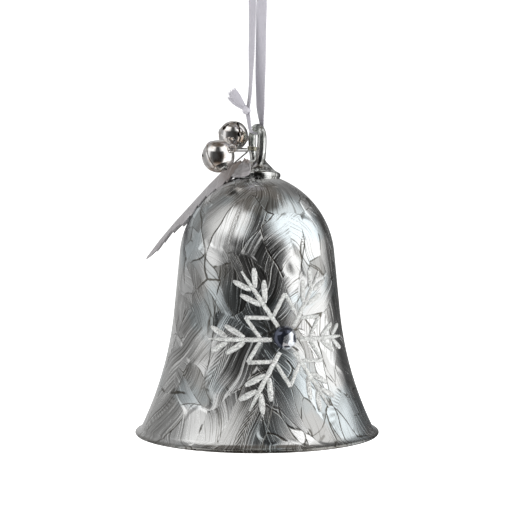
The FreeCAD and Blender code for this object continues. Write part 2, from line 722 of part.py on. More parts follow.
def ribbon():
    """The flat ribbon: round the top of the glass ring, up in two strands, and closed in its loop."""
    arch = size("ring_height") + size("ring_radius")
    bow, thick, top = size("ribbon_bow"), size("ribbon_thick"), size("ribbon_top")
    turn = Placement(Vector(), Rotation(UP, size("ring_turn")))
    crest = top - bow

    def band(reach):
        """The loop's outline in its own plane, reach millimetres from the middle of its thickness."""
        corners = [Vector(0, side * (bow + reach), height) for side in (1, -1) for height in (arch, crest)]
        edges = [
            Part.LineSegment(corners[0], corners[1]).toShape(),
            Part.Arc(corners[1], Vector(0, 0, crest + bow + reach), corners[3]).toShape(),
            Part.LineSegment(corners[3], corners[2]).toShape(),
            Part.Arc(corners[2], Vector(0, 0, arch - bow - reach), corners[0]).toShape(),
        ]
        return Part.Face(Part.Wire(edges))

    width = size("ribbon_width")
    flat = band(thick / 2).cut(band(-thick / 2))
    strap = doc.addObject("Part::Feature", "ribbon_strap")
    strap.Shape = flat.extrude(Vector(width, 0, 0))
    strap.Placement = turn.multiply(Placement(Vector(-width / 2, 0, 0), Rotation()))
    # The ribbon gathers to pass through the ring, and opens to its full width above it.
    gather = size("ribbon_gather")
    low, high = arch - bow - thick, size("ribbon_gather_top")
    corners = [(-gather / 2, low), (gather / 2, low), (gather / 2, arch + 1), (width / 2, high),
               (width / 2, top + thick), (-width / 2, top + thick), (-width / 2, high),
               (-gather / 2, arch + 1)]
    outline = Part.makePolygon([Vector(x, -2 * bow, z) for x, z in [*corners, corners[0]]])
    room = doc.addObject("Part::Feature", "ribbon_room")
    room.Shape = Part.Face(outline).extrude(Vector(0, 4 * bow, 0))
    room.Placement = turn
    loop = doc.addObject("Part::Common", "ribbon_gathered")
    loop.Base, loop.Tool = strap, room
    keep(loop, "ribbon_loop")

    knot_at = Vector(*KNOT_MIDDLE)
    keep(solid("Sphere", "knot_ball", Placement(knot_at, Rotation()), Radius="knot_radius"), "ribbon_knot")
    for name, triple in TAIL_WAYS.items():
        way = Vector(*triple).normalize()
        start = knot_at + way * (size("knot_radius") + 0.05)
        tail = solid("Box", f"tail_{name}", Length="ribbon_width", Width="ribbon_thick", Height="tail_length")
        side = way.cross(Vector(0, 1, 0)).normalize()
        face = Rotation(side, way.cross(side), way, "ZXY")
        corner = start - side * (size("ribbon_width") / 2) - way.cross(side) * (size("ribbon_thick") / 2)
        keep(tail, f"ribbon_tail_{name}", Placement(corner, face))


def exchanged(shape):
    """The solid with its curved faces as NURBS and its flat ones left as planes.

    The dome's arc has its centre past the bell's axis, and a spun face of that kind is lost in a STEP file.
    """
    faces = [
        face if isinstance(face.Surface, Part.Plane) else face.toNurbs().Faces[0]
        for face in shape.Faces
    ]
    shell = Part.Shell(faces)
    shell.sewShape()
    made = Part.Solid(shell)
    if made.Volume < 0:
        made.reverse()
    return made


bell_shell()
hanging_loop()
snowflake()
rhinestone()
jingle("lower", LOWER_JINGLE)
jingle("upper", UPPER_JINGLE)
tie()
leaf()
clapper()
ribbon()

doc.recompute()
for part in doc.Objects:
    if "Invalid" in part.State or "Error" in part.State:
        raise RuntimeError(f"{part.Label} failed: {part.State}")
os.makedirs("parts", exist_ok=True)
HOLDING_THE_DOME = ("bell_shell", "hanging_loop")
for label, part in nodes.items():
    shape = exchanged(part.Shape.Solids[0]) if label in HOLDING_THE_DOME else part.Shape
    if shape.isNull() or not shape.isValid():
        raise RuntimeError(f"{label} has no valid shape")
    shape.exportStep(f"parts/{label}.step")
    box = shape.BoundBox
    print(f"{label}: {shape.Volume:.2f} mm3, {len(shape.Solids)} solids, x {box.XMin:.1f} {box.XMax:.1f}, "
          f"y {box.YMin:.1f} {box.YMax:.1f}, z {box.ZMin:.1f} {box.ZMax:.1f}")
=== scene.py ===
"""Christmas bell ornament in silvered glass: the finished look of every piece, in metres.

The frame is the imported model. The bell stands on its rim at the origin, +Z is up its axis and -Y is
its front.
"""

from __future__ import annotations

import logging
import math
import random
from dataclasses import dataclass, field
from enum import Enum
from typing import Any, Callable, Optional, Sequence, Union

import bpy
from mathutils import Matrix, Vector

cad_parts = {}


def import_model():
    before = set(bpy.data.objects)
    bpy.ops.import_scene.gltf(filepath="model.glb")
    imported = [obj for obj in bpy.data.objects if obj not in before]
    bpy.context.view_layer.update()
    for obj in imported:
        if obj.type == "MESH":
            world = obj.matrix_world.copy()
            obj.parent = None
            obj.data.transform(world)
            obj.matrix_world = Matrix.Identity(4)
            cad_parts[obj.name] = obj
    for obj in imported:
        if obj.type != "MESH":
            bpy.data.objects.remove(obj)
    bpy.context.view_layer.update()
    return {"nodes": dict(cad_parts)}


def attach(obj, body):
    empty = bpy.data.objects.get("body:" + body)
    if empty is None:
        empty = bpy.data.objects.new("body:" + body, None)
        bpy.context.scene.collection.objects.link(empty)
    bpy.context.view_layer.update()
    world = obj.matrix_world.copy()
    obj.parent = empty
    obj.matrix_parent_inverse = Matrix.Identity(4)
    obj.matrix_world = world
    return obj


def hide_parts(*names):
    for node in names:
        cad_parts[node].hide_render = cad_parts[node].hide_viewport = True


LOG = logging.getLogger("christmas_bell")
MM = 0.001
Colour = tuple[float, float, float, float]


# --- Shader building ----------------------------------------------------------------------------


class Sock:
    """A shader socket that takes part in ordinary arithmetic."""

    def __init__(self, shop: "Finish", socket: bpy.types.NodeSocket) -> None:
        """Wrap a socket of the shop's node tree."""
        self.shop = shop
        self.socket = socket

    def __add__(self, other: "Amount") -> "Sock":
        """The sum with another amount."""
        return self.shop.maths("ADD", self, other)

    __radd__ = __add__

    def __sub__(self, other: "Amount") -> "Sock":
        """This less another amount."""
        return self.shop.maths("SUBTRACT", self, other)

    def __rsub__(self, other: "Amount") -> "Sock":
        """Another amount less this."""
        return self.shop.maths("SUBTRACT", other, self)

    def __mul__(self, other: "Amount") -> "Sock":
        """The product with another amount."""
        return self.shop.maths("MULTIPLY", self, other)

    __rmul__ = __mul__

    def __truediv__(self, other: "Amount") -> "Sock":
        """This over another amount."""
        return self.shop.maths("DIVIDE", self, other)

    def __pow__(self, other: "Amount") -> "Sock":
        """This raised to a power."""
        return self.shop.maths("POWER", self, other)


Amount = Union[Sock, float]


class Finish:
    """One procedural material under construction, or the surroundings' node tree."""

    def __init__(self, name: str, tree: Optional[bpy.types.NodeTree] = None) -> None:
        """Start an empty node tree.

        Args:
            name: what the material is called.
            tree: a node tree to fill in place of a new material's.
        """
        self.material: Optional[bpy.types.Material] = None
        if tree is None:
            self.material = bpy.data.materials.new(name)
            self.material.use_nodes = True
            tree = self.material.node_tree
        tree.nodes.clear()
        self.tree = tree

    def node(
        self,
        kind: str,
        settings: Optional[dict[str, Any]] = None,
        inputs: Optional[dict[Any, Any]] = None,
        output: Union[int, str] = 0,
    ) -> Sock:
        """Add a node.

        Args:
            kind: the node's type.
            settings: its settings, which are set first. "stops" is a ramp's list of (place, grey).
            inputs: a value or a wrapped socket for each input, by name or number.
            output: the output that is handed back.

        Returns:
            The wrapped output, or the input of a node that ends the tree.
        """
        made = self.tree.nodes.new(kind)
        for word, value in (settings or {}).items():
            if word == "stops":
                self._fill_ramp(made.color_ramp, value)
            else:
                setattr(made, word, value)
        for word, value in (inputs or {}).items():
            if isinstance(value, Sock):
                self.tree.links.new(value.socket, made.inputs[word])
            else:
                made.inputs[word].default_value = value
        return Sock(self, (made.outputs or made.inputs)[output])

    @staticmethod
    def _fill_ramp(ramp: bpy.types.ColorRamp, stops: Sequence[tuple[float, float]]) -> None:
        """Give a ramp its grey stops.

        Args:
            ramp: the ramp to fill.
            stops: the place, from 0 to 1, and the brightness of each stop.
        """
        while len(ramp.elements) > 1:
            ramp.elements.remove(ramp.elements[-1])
        for number, (place, grey) in enumerate(stops):
            stop = ramp.elements[0] if number == 0 else ramp.elements.new(place)
            stop.position = place
            stop.color = (grey, grey, grey, 1.0)

    def maths(self, operation: str, *values: Amount) -> Sock:
        """A Math node on one or more amounts."""
        return self.node("ShaderNodeMath", {"operation": operation}, dict(enumerate(values)))

    def vectors(self, operation: str, *values: Any, output: str = "Vector") -> Sock:
        """A Vector Math node on one or more vectors."""
        return self.node("ShaderNodeVectorMath", {"operation": operation}, dict(enumerate(values)), output)

    def object_place(self) -> Sock:
        """The point's place in the object."""
        return self.node("ShaderNodeTexCoord", output="Object")

    def own_uv(self) -> Sock:
        """The point's place on the piece's own UV map."""
        return self.node("ShaderNodeTexCoord", output="UV")

    def split(self, vector: Sock) -> tuple[Sock, Sock, Sock]:
        """The three parts of a vector."""
        first = self.node("ShaderNodeSeparateXYZ", inputs={0: vector})
        outputs = first.socket.node.outputs
        return Sock(self, outputs[0]), Sock(self, outputs[1]), Sock(self, outputs[2])

    def joined(self, x: Amount, y: Amount, z: Amount) -> Sock:
        """A vector from three amounts."""
        return self.node("ShaderNodeCombineXYZ", inputs={0: x, 1: y, 2: z})

    def between(
        self, value: Amount, low: float, high: float, first: float = 0.0, last: float = 1.0
    ) -> Sock:
        """A smooth step.

        Args:
            value: the amount that drives it.
            low: where it starts.
            high: where it ends.
            first: what it is up to its start.
            last: what it is from its end.

        Returns:
            The stepped value.
        """
        return self.node(
            "ShaderNodeMapRange",
            {"interpolation_type": "SMOOTHSTEP"},
            {"Value": value, "From Min": low, "From Max": high, "To Min": first, "To Max": last},
        )

    def noise(self, place: Sock, scale: float, detail: float = 3.0, roughness: float = 0.5) -> Sock:
        """A cloudy value about a half.

        Args:
            place: where it is read.
            scale: clouds to the metre.
            detail: how many finer layers it has.
            roughness: how strong the finer layers are.

        Returns:
            The value.
        """
        return self.node(
            "ShaderNodeTexNoise",
            inputs={"Vector": place, "Scale": scale, "Detail": detail, "Roughness": roughness},
        )

    def cells(self, place: Sock, scale: float, output: str, edges: bool = False) -> Sock:
        """A Voronoi pattern's named output."""
        kind = "DISTANCE_TO_EDGE" if edges else "F1"
        return self.node("ShaderNodeTexVoronoi", {"feature": kind}, {"Vector": place, "Scale": scale}, output)

    def tint(self, factor: Amount, first: Any, second: Any, blend: str = "MIX") -> Sock:
        """A colour between two colours.

        Args:
            factor: the share of the second.
            first: the first colour, or a wrapped one.
            second: the second colour, or a wrapped one.
            blend: how they are mixed.

        Returns:
            The mixed colour.
        """
        made = self.node("ShaderNodeMix", {"data_type": "RGBA", "blend_type": blend}, {0: factor}, 2)
        node = made.socket.node
        for number, value in ((6, first), (7, second)):
            if isinstance(value, Sock):
                self.tree.links.new(value.socket, node.inputs[number])
            else:
                node.inputs[number].default_value = value
        return made

    def bumped(self, height: Sock, strength: float, distance: float) -> Sock:
        """The normal over a height field, whose full height is distance metres."""
        return self.node(
            "ShaderNodeBump", inputs={"Strength": strength, "Distance": distance, "Height": height}
        )

    def surface(self, **inputs: Any) -> Sock:
        """Add a Principled shader.

        Args:
            inputs: its inputs, named in plain words, such as base_color.

        Returns:
            The wrapped shader.
        """
        named = {}
        for word, value in inputs.items():
            named[word.replace("_", " ").title().replace("Ior", "IOR")] = value
        return self.node("ShaderNodeBsdfPrincipled", inputs=named)

    def done(self, shader: Sock) -> bpy.types.Material:
        """Send the shader to the output and return the material."""
        self.node("ShaderNodeOutputMaterial", inputs={0: shader})
        return self.material


# --- Modelling helpers --------------------------------------------------------------------------


def pick(piece: bpy.types.Object) -> None:
    """Make a piece the only one selected, and active."""
    bpy.ops.object.select_all(action="DESELECT")
    piece.select_set(True)
    bpy.context.view_layer.objects.active = piece


def settle(piece: bpy.types.Object, smooth_degrees: Optional[float] = 40.0) -> bpy.types.Object:
    """Put a piece's place into its mesh and shade it.

    Args:
        piece: the piece to settle.
        smooth_degrees: edges sharper than this stay sharp, and None leaves every face flat.

    Returns:
        The same piece.
    """
    pick(piece)
    bpy.ops.object.transform_apply(location=True, rotation=True, scale=True)
    if smooth_degrees is not None:
        bpy.ops.object.shade_smooth_by_angle(angle=math.radians(smooth_degrees))
    return piece


def on_lathe(
    name: str, outline: Sequence[tuple[float, float]], sides: int, weld: float = 0.0
) -> bpy.types.Object:
    """Turn an outline about the vertical axis, ring after ring.

    Args:
        name: the piece's name.
        outline: (radius, height) of each ring, in metres.
        sides: how many sides the rings have.
        weld: points nearer than this are merged, which closes a pole.

    Returns:
        The turned piece, with its faces outward.
    """
    bpy.ops.object.select_all(action="DESELECT")
    radius, height = outline[0]
    bpy.ops.mesh.primitive_circle_add(vertices=sides, radius=radius, location=(0.0, 0.0, height))
    piece = bpy.context.object
    piece.name = name
    bpy.ops.object.mode_set(mode="EDIT")
    bpy.ops.mesh.select_all(action="SELECT")
    for next_radius, next_height in outline[1:]:
        bpy.ops.mesh.extrude_region_move(TRANSFORM_OT_translate={"value": (0.0, 0.0, next_height - height)})
        share = next_radius / radius
        bpy.ops.transform.resize(value=(share, share, 1.0), center_override=(0.0, 0.0, next_height))
        radius, height = next_radius, next_height
    bpy.ops.mesh.select_all(action="SELECT")
    if weld:
        bpy.ops.mesh.remove_doubles(threshold=weld)
    bpy.ops.mesh.normals_make_consistent(inside=False)
    bpy.ops.object.mode_set(mode="OBJECT")
    return piece


def laid_grid(
    name: str, across: int, along: int, place: Callable[[float, float], Vector], thickness: float = 0.0
) -> bpy.types.Object:
    """Lay a fine grid over a curved form.

    Args:
        name: the piece's name.
        across: divisions over its width.
        along: divisions over its length.
        place: gives the point for a share across and a share along, each from 0 to 1.
        thickness: the thickness given by a Solidify modifier, and 0 leaves a single sheet.

    Returns:
        The piece, its UV map running 0 to 1 across and along.
    """
    bpy.ops.object.select_all(action="DESELECT")
    bpy.ops.mesh.primitive_grid_add(x_subdivisions=across, y_subdivisions=along, size=1.0)
    piece = bpy.context.object
    piece.name = name
    for point in piece.data.vertices:
        point.co = place(point.co.x + 0.5, point.co.y + 0.5)
    if thickness:
        wall = piece.modifiers.new("thickness", "SOLIDIFY")
        wall.thickness = thickness
        wall.offset = 0.0
        bpy.ops.object.modifier_apply(modifier=wall.name)
        bpy.ops.object.mode_set(mode="EDIT")
        bpy.ops.mesh.select_all(action="SELECT")
        bpy.ops.mesh.normals_make_consistent(inside=False)
        bpy.ops.object.mode_set(mode="OBJECT")
    return piece


def joined_up(name: str, pieces: Sequence[bpy.types.Object]) -> bpy.types.Object:
    """Join pieces into the first and name it.

    Args:
        name: what the joined piece is called.
        pieces: the pieces, whose materials are kept.

    Returns:
        The joined piece.
    """
    pick(pieces[0])
    for piece in pieces[1:]:
        piece.select_set(True)
    if len(pieces) > 1:
        bpy.ops.object.join()
    pieces[0].name = name
    return pieces[0]


def refined(node: bpy.types.Object, name: str, smooth_degrees: float = 35.0) -> bpy.types.Object:
    """A welded, smoothly shaded copy of a CAD node.

    Args:
        node: the CAD node.
        name: the copy's name.
        smooth_degrees: edges sharper than this stay sharp.

    Returns:
        The copy.
    """
    mesh = node.data.copy()
    mesh.materials.clear()
    piece = bpy.data.objects.new(name, mesh)
    bpy.context.scene.collection.objects.link(piece)
    pick(piece)
    bpy.ops.mesh.customdata_custom_splitnormals_clear()
    bpy.ops.object.mode_set(mode="EDIT")
    bpy.ops.mesh.select_all(action="SELECT")
    bpy.ops.mesh.remove_doubles(threshold=2e-6)
    bpy.ops.object.mode_set(mode="OBJECT")
    return settle(piece, smooth_degrees)


def stand_in(
    piece: bpy.types.Object, body: str, slot: str, material: Optional[bpy.types.Material], *nodes: str
) -> None:
    """Dress a piece, put it on its body and let it stand for CAD nodes.

    Args:
        piece: the finished piece.
        body: the body that it rides on.
        slot: not used.
        material: its material, and None where it already has its own.
        nodes: the CAD nodes that it replaces.
    """
    if not piece.data.materials:
        piece.data.materials.append(material)
    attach(piece, body)
    if nodes:
        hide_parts(*nodes)
    LOG.info("%s rides on %s", piece.name, body)


# --- The studio ---------------------------------------------------------------------------------


@dataclass
class Studio:
    """The camera, the surroundings, the lamps and the floor."""

    eye: tuple[float, float, float] = (-0.00029, -0.306, 0.0507)
    lens: float = 74.4
    floor_height: float = -0.03
    # Brightness round the bell, from behind it by its left, front and right: (degrees, grey).
    round_about: tuple[tuple[float, float], ...] = (
        (-180.0, 0.50), (-150.0, 0.36), (-112.0, 0.24), (-90.0, 0.30), (-82.0, 0.62), (-64.0, 0.62),
        (-54.0, 0.16), (-34.0, 0.05), (24.0, 0.03), (38.0, 0.14), (48.0, 0.95), (72.0, 1.0),
        (104.0, 1.0), (116.0, 0.24), (130.0, 0.05), (160.0, 0.09), (180.0, 0.50),
    )
    # The same for a higher band, which lights the shoulder and the flare.
    band_above: tuple[tuple[float, float], ...] = (
        (-180.0, 0.40), (-150.0, 0.26), (-112.0, 0.26), (-84.0, 0.85), (-40.0, 1.0),
        (-26.0, 0.60), (-16.0, 0.08), (10.0, 0.04), (22.0, 0.34), (38.0, 1.0),
        (80.0, 1.0), (104.0, 0.85), (120.0, 0.32), (150.0, 0.14), (180.0, 0.45),
    )

    def set_up(self) -> None:
        """Build the whole studio."""
        self.place_camera()
        self.surround()
        self.hang_lamps()
        self.lay_floor()

    def place_camera(self) -> None:
        """Stand the level camera in front of the bell."""
        data = bpy.data.cameras.new("studio_camera")
        data.lens = self.lens
        data.sensor_width = 36.0
        data.clip_start = 0.005
        camera = bpy.data.objects.new("studio_camera", data)
        camera.location = self.eye
        camera.rotation_euler = (math.radians(90.0), 0.0, 0.0)
        bpy.context.scene.collection.objects.link(camera)
        bpy.context.scene.camera = camera
        bpy.context.scene.view_settings.view_transform = "Standard"

    def surround(self) -> None:
        """Light the bell from soft panels at its sides, and leave the front dim and the backdrop white."""
        world = bpy.data.worlds.new("studio_surroundings")
        bpy.context.scene.world = world
        world.use_nodes = True
        room = Finish("room", world.node_tree)
        way = room.node("ShaderNodeTexCoord", output="Generated")
        x, y, z = room.split(way)
        turn = room.maths("ARCTAN2", x, y * -1.0) / (2 * math.pi) + 0.5
        rings = []
        for band in (self.round_about, self.band_above):
            stops = [((degrees + 180.0) / 360.0, grey) for degrees, grey in band]
            rings.append(room.node("ShaderNodeValToRGB", {"stops": stops}, {0: turn}))
        panels = room.tint(room.between(z, 0.40, 0.60), rings[0], rings[1])
        panels = room.tint(room.between(z, 0.84, 0.92), panels, (0.150, 0.138, 0.126, 1.0))
        panels = room.tint(room.between(z, -0.62, -0.95), panels, (0.40, 0.37, 0.35, 1.0))
        seen = room.node("ShaderNodeLightPath", output="Is Camera Ray")
        colour = room.tint(seen, panels, (1.0, 1.0, 1.0, 1.0))
        glow = room.node("ShaderNodeBackground", inputs={"Color": colour, "Strength": 1.35})
        room.node("ShaderNodeOutputWorld", inputs={0: glow})

    def hang_lamps(self) -> None:
        """Two soft lamps that model the matt pieces and don't show in the mirror glass."""
        for name, place, watts, side in (
            ("lamp_right", (0.55, -0.35, 0.35), 3.2, 0.5),
            ("lamp_left", (-0.5, -0.25, 0.30), 1.6, 0.4),
        ):
            data = bpy.data.lights.new(name, "AREA")
            data.energy = watts
            data.size = side
            lamp = bpy.data.objects.new(name, data)
            lamp.location = place
            towards_bell = Vector((0.0, 0.0, 0.06)) - Vector(place)
            lamp.rotation_euler = towards_bell.to_track_quat("-Z", "Y").to_euler()
            lamp.visible_glossy = False
            lamp.visible_camera = False
            bpy.context.scene.collection.objects.link(lamp)

    def lay_floor(self) -> None:
        """Lay a plain pale floor below the hanging bell."""
        bpy.ops.object.select_all(action="DESELECT")
        bpy.ops.mesh.primitive_plane_add(size=8.0, location=(0.0, 0.0, self.floor_height))
        floor = settle(bpy.context.object, None)
        floor.name = "floor"
        paper = Finish("floor_paper")
        grain = paper.noise(paper.object_place(), 900.0)
        floor.data.materials.append(
            paper.done(
                paper.surface(
                    base_color=(0.9, 0.9, 0.9, 1.0), roughness=0.9, emission_color=(1.0, 1.0, 1.0, 1.0),
                    emission_strength=0.95, normal=paper.bumped(grain, 0.05, 0.0002),
                )
            )
        )
        floor.visible_glossy = False


# --- The ribbon ---------------------------------------------------------------------------------


@dataclass(frozen=True)
class Satin:
    """Grey satin ribbon: fine lengthwise sheen, weft ribs and a beaded woven edge."""

    colour: Colour = (0.305, 0.295, 0.33, 1.0)
    pale: Colour = (0.53, 0.52, 0.56, 1.0)
    length: float = 0.094

    def make(self) -> bpy.types.Material:
        """Build the material on the piece's UV map, across and along.

        Returns:
            The material.
        """
        cloth = Finish("satin")
        across, along, _ = cloth.split(cloth.own_uv())
        run = along * (self.length / MM)
        threads = cloth.noise(cloth.joined(across * 46.0, run * 0.5, 0.0), 1.0, 4.0, 0.6)
        weft = cloth.maths("SINE", run * (2 * math.pi / 0.22)) * 0.5 + 0.5
        side = cloth.maths("ABSOLUTE", across * 2.0 - 1.0)
        edge = cloth.between(side, 0.78, 0.9)
        beads = (cloth.maths("SINE", run * (2 * math.pi / 0.85)) * 0.5 + 0.5) * edge
        shade = threads * 0.75 + beads * 0.55 - edge * 0.15
        height = threads * 0.5 + weft * 0.25 * (1.0 - edge) + beads * 1.2
        return cloth.done(
            cloth.surface(
                base_color=cloth.tint(cloth.between(shade, 0.2, 0.75), self.colour, self.pale),
                roughness=threads * 0.2 + 0.32, sheen_weight=0.35, sheen_roughness=0.35,
                specular_ior_level=0.5, normal=cloth.bumped(height, 0.6, 0.00006),
            )
        )


@dataclass
class Ribbon:
    """The hanging loop of flat ribbon, its knot and its two frayed tails."""

    width: float = 3.0 * MM
    gathered: float = 1.8 * MM
    thickness: float = 0.16 * MM
    length: float = 0.093
    scallop: float = 0.05 * MM
    scallop_step: float = 0.85 * MM
    knot: tuple[float, float, float] = (-3.05, -1.75, 92.7)
    # The lean, the turn and the width of each wrap of the knot: (degrees, degrees, scale).
    wraps: tuple[tuple[float, float, float], ...] = (
        (24.0, 20.0, 0.88), (78.0, 65.0, 0.80), (-48.0, 130.0, 0.84),
    )
    threads_at_end: int = 26
    # The route in millimetres: from the knot down, round the glass ring, up, over and back to the knot.
    route: tuple[tuple[float, float, float], ...] = (
        (-2.7, -1.6, 92.5), (-2.45, -1.25, 90.3), (-2.2, -1.1, 87.9), (-1.75, -0.95, 86.0),
        (1.55, 0.82, 86.0), (1.5, 0.8, 88.6), (0.98, 0.75, 92.6), (0.9, 0.45, 99.0),
        (1.05, -0.05, 107.0), (1.2, -0.5, 116.0), (1.4, -0.8, 124.5), (1.5, -0.8, 130.4),
        (-1.45, 0.7, 130.4), (-1.2, 0.7, 124.0), (-1.4, 0.4, 113.0), (-1.62, -0.3, 103.0),
        (-1.98, -1.15, 96.0), (-2.55, -1.6, 93.0),
    )
    # The way that the flat of the ribbon lies, by height up each strand: (share of the run, degrees).
    twist: tuple[tuple[float, float], ...] = (
        (0.0, -66.0), (0.08, -62.0), (0.13, -60.0), (0.2, -38.0), (0.33, -14.0), (0.5, -10.0),
        (0.56, -62.0), (0.62, -42.0), (0.8, -54.0), (0.92, -70.0), (1.0, -70.0),
    )

    def follow_route(self) -> list[Vector]:
        """Read the smooth line that the route's control points make.

        Returns:
            Its points, in metres.
        """
        curve = bpy.data.curves.new("ribbon_route", "CURVE")
        curve.dimensions = "3D"
        spline = curve.splines.new("NURBS")
        spline.points.add(len(self.route) - 1)
        for point, place in zip(spline.points, self.route):
            point.co = (*(part * MM for part in place), 1.0)
        spline.order_u = 3
        spline.use_endpoint_u = True
        spline.resolution_u = 20
        holder = bpy.data.objects.new("ribbon_route", curve)
        bpy.context.scene.collection.objects.link(holder)
        mesh = bpy.data.meshes.new_from_object(holder)
        points = [point.co.copy() for point in mesh.vertices]
        bpy.data.objects.remove(holder)
        bpy.data.meshes.remove(mesh)
        return points

    def twist_at(self, share: float) -> float:
        """How the flat of the ribbon is turned.

        Args:
            share: how far along its run, from 0 to 1.

        Returns:
            The turn in radians.
        """
        for (start, first), (end, last) in zip(self.twist, self.twist[1:]):
            if share <= end:
                part = (share - start) / (end - start)
                part = part * part * (3.0 - 2.0 * part)
                return math.radians(first + (last - first) * part)
        return math.radians(self.twist[-1][1])

    def strap(self, points: Sequence[Vector], material: bpy.types.Material) -> bpy.types.Object:
        """Args:
            points: the line that it follows.
            material: the satin.

        Returns:
            The strap.
        """
        reach = [0.0]
        for here, there in zip(points, points[1:]):
            reach.append(reach[-1] + (there - here).length)
        total = reach[-1]
        LOG.info("ribbon run is %.1f mm", total / MM)

        def on_line(share: float) -> tuple[Vector, Vector]:
            """Find a point of the line.

            Args:
                share: how far along, from 0 to 1.

            Returns:
                The point and the way onward from it.
            """
            far = min(max(share, 0.0), 1.0) * total
            number = next((n for n in range(1, len(reach)) if reach[n] >= far), len(reach) - 1)
            part = (far - reach[number - 1]) / max(reach[number] - reach[number - 1], 1e-12)
            place = points[number - 1].lerp(points[number], part)
            before, after = points[max(number - 2, 0)], points[min(number + 1, len(points) - 1)]
            return place, (after - before).normalized()

        def place(across: float, along: float) -> Vector:
            """Place a point of the strap.

            Args:
                across: the share of its width.
                along: the share of its run.

            Returns:
                The point.
            """
            middle, onward = on_line(along)
            angle = self.twist_at(along)
            flat = Vector((math.cos(angle), math.sin(angle), 0.0))
            flat = (flat - onward * onward.dot(flat)).normalized()
            face = onward.cross(flat)
            near_arch = math.exp(-(((middle.z / MM) - 86.5) / 4.2) ** 2)
            wide = self.width + (self.gathered - self.width) * near_arch
            side = 2.0 * across - 1.0
            beat = math.sin(2 * math.pi * along * total / self.scallop_step)
            scallop = self.scallop * beat * abs(side) ** 6
            cup = 0.16 * MM * (side * side - 0.4) + 0.22 * MM * near_arch * math.cos(3.0 * side)
            return middle + flat * (side * (wide / 2.0) + math.copysign(scallop, side)) + face * cup

        strap = laid_grid("ribbon_strap", 12, 520, place, self.thickness)
        settle(strap, 60.0)
        stand_in(strap, "ribbon", "satin", material, "ribbon_loop")
        return strap

    def tie_knot(self, material: bpy.types.Material) -> bpy.types.Object:
        """Wrap the knot from crossing turns of gathered ribbon.

        Args:
            material: the satin.

        Returns:
            The knot.
        """
        turns = []
        for tilt, spin, wide in self.wraps:
            bpy.ops.object.select_all(action="DESELECT")
            bpy.ops.mesh.primitive_torus_add(
                major_segments=48, minor_segments=20, major_radius=0.92 * MM, minor_radius=0.54 * MM,
                location=[part * MM for part in self.knot],
                rotation=(math.radians(tilt), math.radians(10.0), math.radians(spin)),
            )
            bpy.context.object.scale = (wide, 1.0, 1.15)
            turns.append(settle(bpy.context.object))
        knot = joined_up("knot", turns)
        blend = knot.modifiers.new("blend", "REMESH")
        blend.mode = "VOXEL"
        blend.voxel_size = 0.07 * MM
        bpy.ops.object.modifier_apply(modifier=blend.name)
        ease = knot.modifiers.new("ease", "SMOOTH")
        ease.factor, ease.iterations = 0.5, 1
        bpy.ops.object.modifier_apply(modifier=ease.name)
        settle(knot, 180.0)
        stand_in(knot, "ribbon", "satin", material, "ribbon_knot")
        return knot

    def tail(
        self, name: str, node: str, way: tuple[float, float, float], bend: tuple[float, float, float],
        reach: float, material: bpy.types.Material, threads: bpy.types.Material,
    ) -> bpy.types.Object:
        """One short tail, pinched at the knot, opening to its full width and frayed at its cut end.

        Args:
            name: the tail's name.
            node: the CAD node that it stands for.
            way: the direction in which it leaves the knot.
            bend: the direction that it curls towards.
            reach: its length in metres.
            material: the satin.
            threads: the loose threads' material.

        Returns:
            The tail.
        """
        root = Vector(self.knot) * MM
        onward, curl = Vector(way).normalized(), Vector(bend).normalized()
        flat = onward.cross(Vector((0.15, 1.0, 0.1))).normalized()
        face = onward.cross(flat).normalized()
        chance = random.Random(name)

        def place(across: float, along: float) -> Vector:
            """Place a point of the tail.

            Args:
                across: the share of its width.
                along: the share of its length from the knot.

            Returns:
                The point.
            """
            side = 2.0 * across - 1.0
            wide = self.width * (0.30 + 0.58 * min(1.0, along * 1.5) ** 0.8)
            ragged = 0.35 * MM * math.sin(across * 23.0) * max(0.0, along - 0.9) * 6.0
            lift = 0.35 * MM * math.cos(side * 2.4) * (1.0 - 0.55 * along)
            middle = root + onward * (0.8 * MM + along * reach + ragged) + curl * (along * along * MM)
            return middle + flat * (side * wide / 2.0) + face * lift

        pieces = [settle(laid_grid(name, 12, 40, place, self.thickness), 60.0)]
        pieces[0].data.materials.append(material)
        for number in range(self.threads_at_end):
            across = (number + 0.5) / self.threads_at_end
            start = place(across, 1.0)
            long = chance.uniform(0.3, 1.0) * MM
            lean = onward + flat * chance.uniform(-0.35, 0.35) + face * chance.uniform(-0.25, 0.25)
            bpy.ops.object.select_all(action="DESELECT")
            bpy.ops.mesh.primitive_cylinder_add(
                vertices=5, radius=0.032 * MM, depth=long,
                location=start + lean.normalized() * (long * 0.4),
                rotation=lean.to_track_quat("Z", "Y").to_euler(),
            )
            thread = settle(bpy.context.object)
            thread.data.materials.append(threads)
            pieces.append(thread)
        tail = joined_up(name, pieces)
        stand_in(tail, "ribbon", "satin", material, node)
        return tail

    def make(self) -> None:
        satin = Satin().make()
        loose = Finish("loose_thread")
        thread = loose.done(
            loose.surface(
                base_color=loose.tint(
                    loose.noise(loose.object_place(), 4000.0), (0.30, 0.29, 0.33, 1.0),
                    (0.52, 0.51, 0.55, 1.0),
                ),
                roughness=0.6,
            )
        )
        points = self.follow_route()
        strap = self.strap(points, satin)
        knot = self.tie_knot(satin)
        front = self.tail(
            "tail_front", "ribbon_tail_front", (-0.62, -0.2, 0.74), (-0.35, 0.0, 0.6), 5.0 * MM,
            satin, thread,
        )
        back = self.tail(
            "tail_back", "ribbon_tail_back", (-0.74, 0.22, 0.60), (-0.2, 0.3, 0.8), 4.9 * MM,
            satin, thread,
        )
        [tuple(point) for point in points]


# --- The glass bell -----------------------------------------------------------------------------


